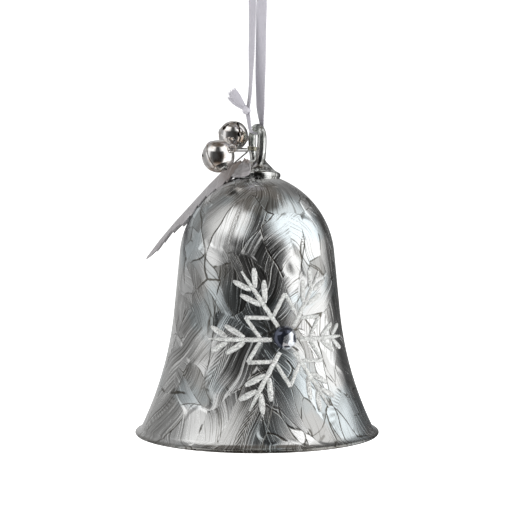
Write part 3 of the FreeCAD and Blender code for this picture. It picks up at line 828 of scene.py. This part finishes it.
@dataclass(frozen=True)
class BellForm:
    """The bell's outline in millimetres: a domed crown, a straight waist and a flare."""

    dome_centre: tuple[float, float] = (-2.95, 49.6)
    dome_radius: float = 25.35
    waist_top: tuple[float, float] = (22.282, 52.044)
    waist_foot: tuple[float, float] = (23.909, 35.243)
    flare_centre: tuple[float, float] = (122.05, 44.75)
    flare_radius: float = 98.6
    wall: float = 1.2
    lip: float = 1.6
    rim: float = 35.0
    bead: float = 0.48
    foot: float = 33.0

    def radius_at(self, height: float) -> float:
        """Find the outside radius.

        Args:
            height: the height above the rim, in millimetres.

        Returns:
            The radius in millimetres.
        """
        if height > self.waist_top[1]:
            rise = height - self.dome_centre[1]
            return self.dome_centre[0] + math.sqrt(max(self.dome_radius**2 - rise**2, 0.0))
        if height < self.waist_foot[1]:
            drop = self.flare_centre[1] - height
            return self.flare_centre[0] - math.sqrt(self.flare_radius**2 - drop**2)
        share = (height - self.waist_foot[1]) / (self.waist_top[1] - self.waist_foot[1])
        return self.waist_foot[0] + share * (self.waist_top[0] - self.waist_foot[0])

    def side(
        self, inset: float, dome_steps: int, waist_steps: int, flare_steps: int
    ) -> list[tuple[float, float]]:
        """One side of the wall from the crown to the lip.

        Args:
            inset: how far inside the outer surface it lies, in millimetres.
            dome_steps: rings over the dome.
            waist_steps: rings down the waist.
            flare_steps: rings down the flare.

        Returns:
            (radius, height) of each ring, in millimetres.
        """
        x, z = self.dome_centre
        reach = self.dome_radius - inset
        lean = math.atan2(self.waist_top[1] - z, self.waist_top[0] - x)
        crown = math.acos(-x / reach)
        rings = []
        for step in range(dome_steps + 1):
            angle = crown + (lean - crown) * step / dome_steps
            rings.append((max(x + reach * math.cos(angle), 0.01), z + reach * math.sin(angle)))
        high = rings[-1]
        x, z = self.flare_centre
        reach = self.flare_radius + inset
        low = (x - reach * math.cos(lean), z - reach * math.sin(lean))
        for step in range(1, waist_steps + 1):
            share = step / waist_steps
            rings.append((high[0] + (low[0] - high[0]) * share, high[1] + (low[1] - high[1]) * share))
        end = math.asin((z - self.lip) / reach)
        for step in range(1, flare_steps + 1):
            angle = lean + (end - lean) * step / flare_steps
            rings.append((x - reach * math.cos(angle), z - reach * math.sin(angle)))
        return rings

    def outline(self) -> list[tuple[float, float]]:
        """Run round the whole wall, from the crown outside down to the lip and up inside.

        Returns:
            (radius, height) of each ring, in metres.
        """
        rings = self.side(0.0, 46, 10, 40)
        middle = self.rim - self.bead
        for degrees in range(80, -91, -20):
            angle = math.radians(degrees)
            rings.append((middle + self.bead * math.cos(angle), self.bead + self.bead * math.sin(angle)))
        rings.append((middle, 0.0))
        rings.append((self.foot, 0.0))
        rings.extend(reversed(self.side(self.wall, 24, 4, 20)))
        return [(radius * MM, height * MM) for radius, height in rings]


@dataclass(frozen=True)
class IceLacquer:
    """Mirror silver under a lacquer that dried in shards, feathers and whorls like frost on a window."""

    silver: Colour = (0.90, 0.905, 0.90, 1.0)
    blue: Colour = (0.79, 0.865, 0.895, 1.0)
    shadow: Colour = (0.085, 0.077, 0.060, 1.0)
    shard: float = 64.0
    splinter: float = 150.0
    shard_lean: tuple[float, float, float] = (0.0, -24.0, 0.0)
    shard_squeeze: tuple[float, float, float] = (1.25, 1.0, 0.46)
    splinter_lean: tuple[float, float, float] = (14.0, 33.0, 0.0)
    splinter_squeeze: tuple[float, float, float] = (1.5, 1.1, 0.42)
    feather_step: float = 0.95 * MM
    whorl_step: float = 0.9 * MM
    relief: float = 0.00016

    def crystals(self, ice: Finish, place: Sock, scale: float, fine: float) -> dict[str, Sock]:
        """One layer of crystals.

        Args:
            ice: the material being built.
            place: the warped place that the cells are cut from.
            scale: cells to the metre.
            fine: how narrow the streaks are, to the metre.

        Returns:
            The layer's streaks, ribs, tilt, edge and random numbers.
        """
        centre = ice.cells(place, scale, "Position")
        away = ice.vectors("SUBTRACT", place, centre)
        luck, swirl, kind = ice.split(ice.cells(place, scale, "Color"))
        normal = ice.node("ShaderNodeNewGeometry", output="Normal")
        level = ice.vectors("NORMALIZE", ice.vectors("CROSS_PRODUCT", (0.0, 0.0, 1.0), normal))
        upward = ice.vectors("CROSS_PRODUCT", normal, level)
        sideways = ice.vectors("DOT_PRODUCT", away, level, output="Value")
        upways = ice.vectors("DOT_PRODUCT", away, upward, output="Value")
        angle = (luck - 0.5) * 2.4
        sine, cosine = ice.maths("SINE", angle), ice.maths("COSINE", angle)
        along = sideways * sine + upways * cosine
        across = sideways * cosine - upways * sine + along * along * ((swirl - 0.5) * 46.0)
        streaks = ice.noise(ice.joined(across * fine, along * (fine * 0.03), kind * 40.0), 1.0, 5.0, 0.66)
        fan = ice.maths("ABSOLUTE", across)
        ribs = ice.maths("SINE", (along + fan * 1.3) * (2 * math.pi / self.feather_step)) * 0.5 + 0.5
        reach = ice.maths("SQRT", across * across * 1.9 + along * along)
        rings = ice.maths("SINE", reach * (2 * math.pi / self.whorl_step) + streaks * 4.0) * 0.5 + 0.5
        feathered = ice.between(kind, 0.74, 0.76) * ice.between(fan, 0.2 * MM, 3.0 * MM, 1.0, 0.0)
        whorled = ice.between(kind, 0.22, 0.20) * ice.between(reach, 0.8 * MM, 5.0 * MM, 1.0, 0.0)
        whorled = whorled * ice.between(reach, 0.3 * MM, 1.1 * MM)
        return {
            "streaks": streaks, "ribs": ribs * feathered + rings * whorled, "tilt": across,
            "luck": luck, "swirl": swirl,
            "edge": ice.cells(place, scale, "Distance", edges=True),
        }

    def make(self) -> bpy.types.Material:
        """Build the material.

        Returns:
            The material.
        """
        ice = Finish("ice_lacquer")
        spot = ice.object_place()
        wander = ice.node(
            "ShaderNodeTexNoise", inputs={"Vector": spot, "Scale": 62.0, "Detail": 1.0}, output="Color"
        )
        drift = ice.vectors("SCALE", ice.vectors("SUBTRACT", wander, (0.5, 0.5, 0.5)))
        drift.socket.node.inputs["Scale"].default_value = 0.008
        warped = ice.vectors("ADD", spot, drift)
        space = self.leaned(ice, warped, self.shard_lean, self.shard_squeeze)
        big = self.crystals(ice, space, self.shard, 2300.0)
        space = self.leaned(ice, warped, self.splinter_lean, self.splinter_squeeze)
        small = self.crystals(ice, space, self.splinter, 3000.0)
        cloud = ice.noise(spot, 46.0, 2.0)
        shattered = ice.between(cloud, 0.49, 0.53)
        calm = ice.between(ice.noise(spot, 36.0, 1.0), 0.44, 0.60)
        streaks = big["streaks"] * (1.0 - shattered) + small["streaks"] * shattered
        ribs = big["ribs"] * (1.0 - shattered * 0.6)
        ragged = ice.noise(spot, 700.0, 2.0)
        seam = ice.between(big["edge"] + (ragged - 0.5) * 0.012, 0.003, 0.014, 1.0, 0.0)
        seam = seam * ice.between(ice.noise(spot, 120.0), 0.43, 0.53)
        split = ice.between(small["edge"] + (ragged - 0.5) * 0.02, 0.002, 0.03, 1.0, 0.0) * shattered
        split = split * ice.between(ice.noise(spot, 200.0), 0.40, 0.52)
        scratch = ice.between(streaks, 0.485, 0.37) * (1.0 - calm * 0.7)
        _, _, height_up = ice.split(spot)
        # Painted shade: a dark band along the lip, laid into the lacquer's colour to tone down the floor's
        # reflection there.
        lip = ice.between(height_up, 0.0013, 0.0008)
        dark = seam * 0.92 + split * 0.85 + scratch * 0.78 + big["ribs"] * 0.5 + lip * 0.55
        dark = ice.maths("MINIMUM", dark, 1.0)
        plate = big["swirl"] * 0.40 * (1.0 - shattered) + small["luck"] * 0.55 * shattered
        plate = plate + (1.0 - calm) * 0.10
        shade = ice.maths("MINIMUM", dark + plate * (1.0 - dark), 0.97)
        height = streaks * 0.55 * (1.0 - calm * 0.6) + ribs * 0.45 - seam * 0.7 - split * 0.6
        height = height + big["tilt"] * 420.0 * (1.0 - shattered) + small["tilt"] * 700.0 * shattered
        frost = ice.between(streaks, 0.52, 0.68) * (1.0 - calm * 0.5)
        cool = ice.between(ice.noise(spot, 54.0), 0.50, 0.62)
        return ice.done(
            ice.surface(
                base_color=ice.tint(shade, ice.tint(cool, self.silver, self.blue), self.shadow),
                metallic=1.0 - frost * 0.42,
                roughness=frost * 0.26 + calm * 0.12 + big["luck"] * 0.08 + 0.05,
                coat_weight=0.25, coat_roughness=0.03, normal=ice.bumped(height, 0.55, self.relief),
            )
        )

    @staticmethod
    def leaned(
        ice: Finish, place: Sock, degrees: tuple[float, float, float], squeeze: tuple[float, float, float]
    ) -> Sock:
        """Lean and draw out the space that a layer of crystals is cut from.

        Args:
            ice: the material being built.
            place: the place to carry over.
            degrees: the turn about each axis.
            squeeze: the scale along each axis, less than 1 drawing the crystals out.

        Returns:
            The place in the leaned space.
        """
        turn = [math.radians(part) for part in degrees]
        turned = ice.node("ShaderNodeMapping", inputs={"Vector": place, "Rotation": turn})
        return ice.vectors("MULTIPLY", turned, squeeze)


@dataclass(frozen=True)
class InnerSilver:
    """The bare silvering inside the bell: duller, with soft cloudy runs."""

    def make(self) -> bpy.types.Material:
        """Build the material.

        Returns:
            The material.
        """
        coat = Finish("inner_silver")
        spot = coat.object_place()
        runs = coat.noise(coat.vectors("MULTIPLY", spot, (1.0, 1.0, 0.25)), 160.0, 4.0, 0.6)
        return coat.done(
            coat.surface(
                base_color=coat.tint(runs, (0.42, 0.41, 0.40, 1.0), (0.80, 0.80, 0.79, 1.0)),
                metallic=0.9, roughness=runs * 0.35 + 0.22, normal=coat.bumped(runs, 0.3, 0.0001),
            )
        )


@dataclass(frozen=True)
class DrawnGlass:
    """Clear glass drawn by hand, silvered from the foot up, the silver painted with dark and pale streaks
    along it that stand for streaky reflections.
    """

    def make(self) -> bpy.types.Material:
        """Build the material.

        Returns:
            The material.
        """
        glass = Finish("drawn_glass")
        spot = glass.object_place()
        _, _, height = glass.split(spot)
        runs = glass.noise(glass.vectors("MULTIPLY", spot, (1.0, 1.0, 0.22)), 950.0, 3.0, 0.6)
        normal = glass.bumped(runs, 0.5, 0.00025)
        # Painted reflection: the silver's colour swings from near black to pale along the runs, standing in
        # for the streaky reflections of the drawn glass; the runs also drive a real bump and roughness.
        silvered = glass.surface(
            base_color=glass.tint(
                glass.between(runs, 0.38, 0.58), (0.10, 0.10, 0.09, 1.0), (0.88, 0.89, 0.87, 1.0)
            ),
            metallic=1.0, roughness=runs * 0.14 + 0.03, coat_weight=0.5, normal=normal,
        )
        clear = glass.surface(
            base_color=(0.60, 0.65, 0.60, 1.0), roughness=0.02, transmission_weight=1.0, ior=1.5,
            normal=normal,
        )
        reach = glass.between(height + (runs - 0.5) * 0.012, 0.079, 0.088)
        return glass.done(glass.node("ShaderNodeMixShader", inputs={0: reach * 0.50, 1: silvered, 2: clear}))


@dataclass
class GlassBell:
    """The blown bell with its silvered lining and the drawn glass loop on its crown."""

    form: BellForm = field(default_factory=BellForm)

    def make(self, nodes: dict[str, bpy.types.Object]) -> None:
        """Build the bell and its loop.

        Args:
            nodes: the CAD nodes by name.
        """
        bell = on_lathe("bell_glass", self.form.outline(), 256, 0.000022)
        settle(bell, 50.0)
        bell.data.materials.append(IceLacquer().make())
        bell.data.materials.append(InnerSilver().make())
        for face in bell.data.polygons:
            outward = face.normal.x * face.center.x + face.normal.y * face.center.y
            face.material_index = 1 if outward < 0.0 or face.center.z > 0.0734 and face.normal.z < 0.0 else 0
        stand_in(bell, "bell", "silvered_glass", None, "bell_shell")
        drawn = DrawnGlass().make()
        loop = refined(nodes["hanging_loop"], "glass_loop", 50.0)
        stand_in(loop, "bell", "loop_glass", drawn, "hanging_loop")
        foot = on_lathe("glass_foot", self.foot_outline(), 96, 0.00002)
        stand_in(settle(foot, 60.0), "bell", "loop_glass", drawn)

    @staticmethod
    def foot_outline() -> list[tuple[float, float]]:
        """Draw the soft skin of glass over the foot: a slumped cone, its edge rolled onto the crown.

        Returns:
            (radius, height) of each ring, in metres.
        """
        corners = (
            (2.55, 78.3), (2.85, 77.75), (3.35, 77.1), (4.05, 76.35), (4.85, 75.7),
            (5.65, 75.15), (6.3, 74.8), (6.66, 74.55), (6.82, 74.2), (6.84, 73.8), (6.7, 73.4), (6.4, 73.12),
        )
        inner = ((5.4, 73.75), (3.6, 75.4), (2.1, 77.4), (2.2, 78.1))
        return [(radius * MM, height * MM) for radius, height in (*corners, *inner, corners[0])]


# --- The snowflake and its stone ----------------------------------------------------------------


@dataclass(frozen=True)
class Glitter:
    """Fine pale glitter set in glue: grains that each catch the light their own way."""

    def make(self) -> bpy.types.Material:
        """Build the material.

        Returns:
            The material.
        """
        dust = Finish("glitter")
        spot = dust.object_place()
        grain = dust.cells(spot, 4200.0, "Color")
        first, second, _ = dust.split(grain)
        domes = dust.cells(spot, 4200.0, "Distance")
        return dust.done(
            dust.surface(
                base_color=dust.tint(first, (0.33, 0.335, 0.33, 1.0), (0.78, 0.79, 0.77, 1.0)),
                metallic=dust.between(second, 0.72, 0.86) * 0.85, roughness=0.22 + second * 0.4,
                normal=dust.bumped(first * 0.6 - domes, 0.9, 0.00012),
            )
        )


@dataclass
class Snowflake:
    """Six glittered stems with leaf-shaped strokes, round a star of chevrons."""

    form: BellForm = field(default_factory=BellForm)
    height: float = 28.4
    turn: float = 18.4
    reach: float = 21.8
    stem: float = 1.15
    lift: float = 0.34
    arms: tuple[float, ...] = (32.0, 90.0, 148.0, 212.0, 270.0, 328.0)
    pairs: tuple[tuple[float, float], ...] = ((0.52, 6.4), (0.74, 5.6))
    star: tuple[float, float] = (0.33, 0.57)
    # Widths at even steps from root to tip.
    stem_widths: tuple[float, ...] = (1.1, 1.2, 1.15, 1.2, 1.1, 0.85, 0.45)
    blade_widths: tuple[float, ...] = (0.75, 1.3, 1.45, 1.5, 1.35, 0.7)
    chevron_widths: tuple[float, ...] = (0.95, 1.05, 0.95)

    def on_glass(self, across: float, up: float, off: float) -> Vector:
        """Place a point over the bell.

        Args:
            across: how far sideways from the flake's middle, in millimetres.
            up: how far up from it.
            off: how far off the glass.

        Returns:
            The point in metres.
        """
        height = self.height + up * 0.985
        radius = self.form.radius_at(height)
        slope = self.form.radius_at(height + 0.5) - self.form.radius_at(height - 0.5)
        angle = math.radians(self.turn) + across / radius
        lean = 1.0 / math.hypot(1.0, slope)
        outer = radius + off * lean
        return Vector((outer * math.sin(angle), -outer * math.cos(angle), height - off * slope * lean)) * MM

    def stroke(
        self, start: tuple[float, float], end: tuple[float, float], widths: Sequence[float],
        chance: random.Random,
    ) -> bpy.types.Object:
        """One grainy, round-backed stroke.

        Args:
            start: its root, sideways and up from the flake's middle.
            end: its tip.
            widths: its width at even steps from root to tip.
            chance: where its grains come from.

        Returns:
            The stroke.
        """
        along = (end[0] - start[0], end[1] - start[1])
        long = math.hypot(*along)
        side = (-along[1] / long, along[0] / long)
        rows = max(10, int(long / 0.2))

        def place(across: float, share: float) -> Vector:
            """Place a point of the stroke.

            Args:
                across: the share of its width.
                share: the share of its length.

            Returns:
                The point.
            """
            spot = min(share * (len(widths) - 1), len(widths) - 1.0001)
            first = int(spot)
            wide = widths[first] + (widths[first + 1] - widths[first]) * (spot - first)
            hand = 2.0 * across - 1.0
            half = hand * wide / 2.0 + chance.uniform(-0.07, 0.07)
            push = share + chance.uniform(-0.06, 0.06) / long
            crown = (1.0 - abs(hand) ** 3) * min(1.0, 8.0 * share * (1.0 - share) + 0.35)
            off = 0.10 + self.lift * (0.45 + 0.55 * crown) * crown + chance.uniform(-0.05, 0.05) * crown
            spot_across = start[0] + along[0] * push + side[0] * half
            spot_up = start[1] + along[1] * push + side[1] * half
            return self.on_glass(spot_across, spot_up, off)

        return laid_grid("stroke", 8, rows, place, 0.06 * MM)

    def make(self) -> None:
        """Draw the flake and dress it."""
        chance = random.Random(12)
        strokes = []
        for number, degrees in enumerate(self.arms):
            turn = math.radians(degrees)

            def spot(along: float, aside: float, turn: float = turn) -> tuple[float, float]:
                """Find a spot by an arm.

                Args:
                    along: how far out along the arm.
                    aside: how far to its side.
                    turn: the arm's angle.

                Returns:
                    How far it is sideways and up from the flake's middle.
                """
                return (
                    along * math.sin(turn) + aside * math.cos(turn),
                    along * math.cos(turn) - aside * math.sin(turn),
                )

            ends = spot(4.0, 0.0), spot(self.reach, 0.0)
            strokes.append(self.stroke(*ends, self.stem_widths, chance))
            for share, long in self.pairs:
                for hand in (-1.0, 1.0):
                    foot = spot(share * self.reach, hand * (self.stem / 2 + 0.1))
                    tip = spot(share * self.reach + 0.82 * long, hand * (self.stem / 2 + 0.5 * long))
                    strokes.append(self.stroke(foot, tip, self.blade_widths, chance))
            after = math.radians(self.arms[(number + 1) % len(self.arms)])
            between = turn + ((after - turn) % (2 * math.pi)) / 2
            peak = (
                self.star[1] * self.reach * math.sin(between),
                self.star[1] * self.reach * math.cos(between),
            )
            for way, hand in ((turn, 1.0), (after, -1.0)):
                aside = hand * (self.stem / 2)
                root = spot(self.star[0] * self.reach, aside, way)
                strokes.append(self.stroke(root, peak, self.chevron_widths, chance))
        flake = settle(joined_up("glitter_flake", strokes), 70.0)
        stand_in(flake, "bell", "glitter", Glitter().make(), "snowflake")


@dataclass
class Rhinestone:
    """The cut stone with a flat back, at the middle of the snowflake, on its drop of glue."""

    form: BellForm = field(default_factory=BellForm)
    height: float = 28.9
    turn: float = 17.4
    gap: float = 0.3
    # (radius, height) of each ring of facets, in millimetres. Some rings are turned by half a facet.
    rings: tuple[tuple[float, float], ...] = (
        (0.01, 0.0), (3.05, 0.0), (3.2, 0.14), (3.2, 0.5), (2.66, 1.32), (1.86, 2.02), (1.0, 2.45),
        (0.01, 2.58),
    )
    turned_rings: tuple[float, ...] = (1.32, 2.45)
    facets: int = 16

    def make(self, nodes: dict[str, bpy.types.Object]) -> None:
        """Cut and set the stone.

        Args:
            nodes: the CAD nodes by name.
        """
        outline = [(radius * MM, up * MM) for radius, up in self.rings]
        stone = on_lathe("rhinestone", outline, self.facets, 0.00003)
        for point in stone.data.vertices:
            if round(point.co.z / MM, 2) in self.turned_rings:
                point.co.rotate(Matrix.Rotation(math.pi / self.facets, 3, "Z"))
        pick(stone)
        rim = stone.modifiers.new("polish", "BEVEL")
        rim.width, rim.segments, rim.limit_method = 0.05 * MM, 1, "ANGLE"
        bpy.ops.object.modifier_apply(modifier=rim.name)
        radius = self.form.radius_at(self.height)
        slope = self.form.radius_at(self.height + 1.0) - radius
        angle = math.radians(self.turn)
        off = Vector((math.sin(angle), -math.cos(angle), -slope)).normalized()
        at = Vector((radius * math.sin(angle), -radius * math.cos(angle), self.height)) + off * self.gap
        facing = off.to_track_quat("Z", "Y").to_matrix().to_4x4()
        stone.data.transform(Matrix.Translation(at * MM) @ facing)
        settle(stone, 8.0)
        cut = Finish("cut_stone")
        flash, _, _ = cut.split(cut.cells(cut.object_place(), 330.0, "Color"))
        # Painted glints: the dark navy stone has random cells painted pale, standing in for facets that catch
        # the light.
        stone_tone_and_painted_glints = cut.tint(cut.between(flash, 0.60, 0.72), (0.045, 0.055, 0.09, 1.0), (0.72, 0.75, 0.80, 1.0))
        faceted = cut.done(
            cut.surface(base_color=stone_tone_and_painted_glints, metallic=0.92, roughness=0.06, coat_weight=1.0, coat_roughness=0.0)
        )
        stand_in(stone, "bell", "rhinestone", faceted, "gem")
        glue = Finish("clear_glue")
        blot = glue.noise(glue.object_place(), 1500.0)
        drop = glue.done(
            glue.surface(
                base_color=(0.92, 0.93, 0.92, 1.0), roughness=blot * 0.2 + 0.05,
                transmission_weight=0.85, ior=1.48, normal=glue.bumped(blot, 0.3, 0.0001),
            )
        )
        stand_in(refined(nodes["gem_glue"], "glue_drop"), "bell", "clear_glue", drop, "gem_glue")


# --- Metal trimmings ----------------------------------------------------------------------------


class Metal(Enum):
    """The metals: pale colour, dark colour, least roughness and how much it varies."""

    PLATE = ("bright_plate", (0.90, 0.885, 0.87, 1.0), (0.40, 0.31, 0.24, 1.0), 0.02, 0.04)
    WIRE = ("drawn_wire", (0.66, 0.65, 0.64, 1.0), (0.38, 0.37, 0.36, 1.0), 0.20, 0.20)
    PELLET = ("pellet_steel", (0.50, 0.50, 0.51, 1.0), (0.30, 0.30, 0.30, 1.0), 0.30, 0.20)
    BRASS = ("binding_wire", (0.62, 0.60, 0.50, 1.0), (0.34, 0.33, 0.25, 1.0), 0.22, 0.15)

    def make(self) -> bpy.types.Material:
        """Build the metal, with faint handling marks and tarnish.

        Returns:
            The material.
        """
        name, pale, dull, least, varies = self.value
        metal = Finish(name)
        spot = metal.object_place()
        tarnish = metal.noise(spot, 420.0, 4.0, 0.6)
        rubbed = metal.noise(metal.vectors("MULTIPLY", spot, (1.0, 0.25, 1.0)), 5200.0, 2.0)
        return metal.done(
            metal.surface(
                base_color=metal.tint(metal.between(tarnish, 0.42, 0.70), pale, dull), metallic=1.0,
                roughness=rubbed * varies + least, normal=metal.bumped(rubbed * 0.3 + tarnish, 0.12, 0.00006),
            )
        )


@dataclass(frozen=True)
class BeadGlass:
    """The clapper's clear pressed bead."""

    def make(self) -> bpy.types.Material:
        """Build the material.

        Returns:
            The material.
        """
        bead = Finish("bead_glass")
        seeds = bead.noise(bead.object_place(), 500.0)
        return bead.done(
            bead.surface(
                base_color=bead.tint(seeds, (0.86, 0.90, 0.92, 1.0), (0.97, 0.98, 0.98, 1.0)),
                roughness=seeds * 0.05 + 0.01, transmission_weight=1.0, ior=1.52,
                normal=bead.bumped(seeds, 0.1, 0.0002),
            )
        )


@dataclass
class Trimmings:
    """The jingle bells, the clapper and their wires."""

    plated: tuple[tuple[str, str], ...] = (
        ("lower_jingle_cap", "lower_jingle"), ("lower_jingle_cup", "lower_jingle"),
        ("lower_jingle_eye", "lower_jingle"), ("upper_jingle_cap", "upper_jingle"),
        ("upper_jingle_cup", "upper_jingle"), ("upper_jingle_eye", "upper_jingle"),
    )
    wires: tuple[tuple[str, str], ...] = (
        ("lower_jingle_wire", "lower_jingle"), ("upper_jingle_wire", "upper_jingle"),
        ("leaf_stem", "leaf"), ("clapper_hook", "bell"), ("clapper_link", "link"),
        ("clapper_rod", "clapper"), ("clapper_crimp", "clapper"),
    )
    pellets: tuple[tuple[str, str], ...] = (
        ("lower_jingle_pellet", "lower_pellet"), ("upper_jingle_pellet", "upper_pellet"),
    )

    def make(self, nodes: dict[str, bpy.types.Object]) -> None:
        """Finish every metal piece and the bead.

        Args:
            nodes: the CAD nodes by name.
        """
        groups = (
            (self.plated, Metal.PLATE, "jingle_plate"), (self.wires, Metal.WIRE, "stem_wire"),
            (self.pellets, Metal.PELLET, "pellet_steel"),
            ((("tie_wire", "bell"),), Metal.BRASS, "tie_wire_brass"),
        )
        for rows, metal, slot in groups:
            material = metal.make()
            for node, body in rows:
                stand_in(refined(nodes[node], f"fine_{node}", 32.0), body, slot, material, node)
        bead = refined(nodes["clapper_bead"], "fine_clapper_bead", 32.0)
        stand_in(bead, "clapper", "bead_glass", BeadGlass().make(), "clapper_bead")


# --- The leaf -----------------------------------------------------------------------------------


@dataclass(frozen=True)
class LeafResin:
    """Smoky translucent resin with a raised midrib and side veins."""

    def make(self) -> bpy.types.Material:
        """Build the material on the leaf's UV map, across and along.

        Returns:
            The material.
        """
        resin = Finish("leaf_resin")
        across, along, _ = resin.split(resin.own_uv())
        side = resin.maths("ABSOLUTE", across * 2.0 - 1.0)
        rib = resin.between(side, 0.02, 0.09, 1.0, 0.0)
        vein = resin.maths("ABSOLUTE", resin.maths("FRACT", along * 9.0 - side * 1.1) - 0.5)
        vein = resin.between(vein, 0.02, 0.08, 1.0, 0.0) * resin.between(side, 0.94, 0.7)
        mottle = resin.noise(resin.object_place(), 260.0, 4.0, 0.6)
        # The raised midrib and veins: they drive a real bump, and their paler colour below is a painted
        # highlight along them.
        veins_and_painted_highlight = resin.maths("MAXIMUM", rib, vein * 0.7)
        base = resin.tint(mottle, (0.30, 0.285, 0.295, 1.0), (0.52, 0.505, 0.515, 1.0))
        base = resin.tint(resin.between(along, 0.30, 0.05) * 0.7, base, (0.30, 0.235, 0.20, 1.0))
        return resin.done(
            resin.surface(
                # Painted highlight: the veins are tinted towards pale grey.
                base_color=resin.tint(veins_and_painted_highlight * 0.4, base, (0.72, 0.71, 0.72, 1.0)),
                roughness=mottle * 0.25 + 0.20, metallic=0.35, coat_weight=0.3,
                normal=resin.bumped(veins_and_painted_highlight + mottle * 0.15, 0.6, 0.0003),
            )
        )


@dataclass
class Leaf:
    """The toothed leaf that runs from the loop's foot, over the shoulder, to its tip off the side."""

    # The midrib from root to tip, in millimetres.
    midrib: tuple[tuple[float, float, float], ...] = (
        (-4.7, 1.6, 78.5), (-7.2, 1.5, 77.1), (-10.2, 1.3, 75.0), (-13.9, 1.1, 71.3), (-18.8, 0.9, 65.9),
        (-23.8, 0.8, 60.4), (-28.0, 0.7, 55.4), (-31.8, 0.6, 50.3),
    )
    half_width: float = 6.3
    fold: float = 0.42
    teeth: int = 11
    thickness: float = 0.3 * MM
    # The base: its top, its fall and its gap off the glass in millimetres, then where it starts and how
    # far it goes round, in degrees from the front.
    base_top: float = 78.5
    base_fall: float = 5.5
    base_gap: float = 0.55
    base_from: float = 12.0
    base_round: float = 92.0

    def make(self) -> None:
        """Build the blade and its base and dress them."""
        spine = [Vector(place) for place in self.midrib]
        reach = [0.0]
        for here, there in zip(spine, spine[1:]):
            reach.append(reach[-1] + (there - here).length)

        def place(across: float, along: float) -> Vector:
            """Place a point of the blade.

            Args:
                across: the share of its width.
                along: the share of its length from the root.

            Returns:
                The point.
            """
            far = along * reach[-1]
            number = next((n for n in range(1, len(reach)) if reach[n] >= far - 1e-9), len(reach) - 1)
            part = (far - reach[number - 1]) / (reach[number] - reach[number - 1])
            middle = spine[number - 1].lerp(spine[number], part)
            onward = (spine[min(number + 1, len(spine) - 1)] - spine[max(number - 2, 0)]).normalized()
            off = Vector((onward.z, 0.0, -onward.x)).normalized()
            body = max(
                math.sin(math.pi * min(1.0, along * 0.90 + 0.10) ** 0.8) ** 0.75, 0.86 - along * 0.9
            )
            saw = (along * self.teeth) % 1.0
            hand = 2.0 * across - 1.0
            edge = abs(hand) ** 3
            half = max(0.1, self.half_width * body * (1.0 - 0.22 * (1.0 - saw) * edge))
            fold = self.fold + 0.42 * max(0.0, 1.0 - along * 3.2)
            drop = -fold * half * abs(hand) ** 1.3 + 0.35 * math.sin(along * 19.0) * edge
            return (middle + off * drop + onward * (0.8 * edge * saw) + Vector((0.0, half * hand, 0.0))) * MM

        blade = laid_grid("leaf_fine_blade", 26, 198, place, self.thickness)
        settle(blade, 40.0)
        resin = LeafResin().make()
        stand_in(blade, "leaf", "leaf_resin", resin, "leaf_blade")
        stand_in(self.base(), "bell", "leaf_resin", resin)

    def base(self) -> bpy.types.Object:
        """Shape the leaf's crumpled base, pressed round the glass foot below the blade's root.

        Returns:
            The base.
        """

        def place(across: float, along: float) -> Vector:
            """Place a point of the base.

            Args:
                across: the share of the way from its front edge round to the back.
                along: the share of the way from its top down.

            Returns:
                The point.
            """
            up = self.base_top - self.base_fall * along - 0.5 * math.sin(across * 9.0) * (1.0 - along)
            rounded = (across - 0.5) * (1.0 - 0.35 * (2.0 * along - 1.0) ** 4) + 0.5
            round_foot = self.base_from + self.base_round * rounded
            angle = math.radians(round_foot + 14.0 * (1.0 - along) * (1.0 - across))
            skin = 3.3 + 3.9 * min(1.0, along * 1.12) ** 1.25
            crumple = 0.22 * math.sin(across * 17.0 + along * 6.0)
            crumple = crumple + 0.14 * math.sin(along * 21.0 - across * 8.0)
            radius = skin + self.base_gap + crumple
            return Vector((-radius * math.sin(angle), -radius * math.cos(angle), up)) * MM

        return settle(laid_grid("leaf_base", 48, 40, place, self.thickness), 50.0)


def main() -> None:
    """Build the studio and every piece of the ornament, in order."""
    logging.basicConfig(level=logging.INFO, format="%(name)s: %(message)s")
    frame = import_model()
    nodes = frame["nodes"]
    Studio().set_up()
    Ribbon().make()
    GlassBell().make(nodes)
    Snowflake().make()
    Rhinestone().make(nodes)
    Trimmings().make(nodes)
    Leaf().make()


if __name__ == "__main__":
    main()
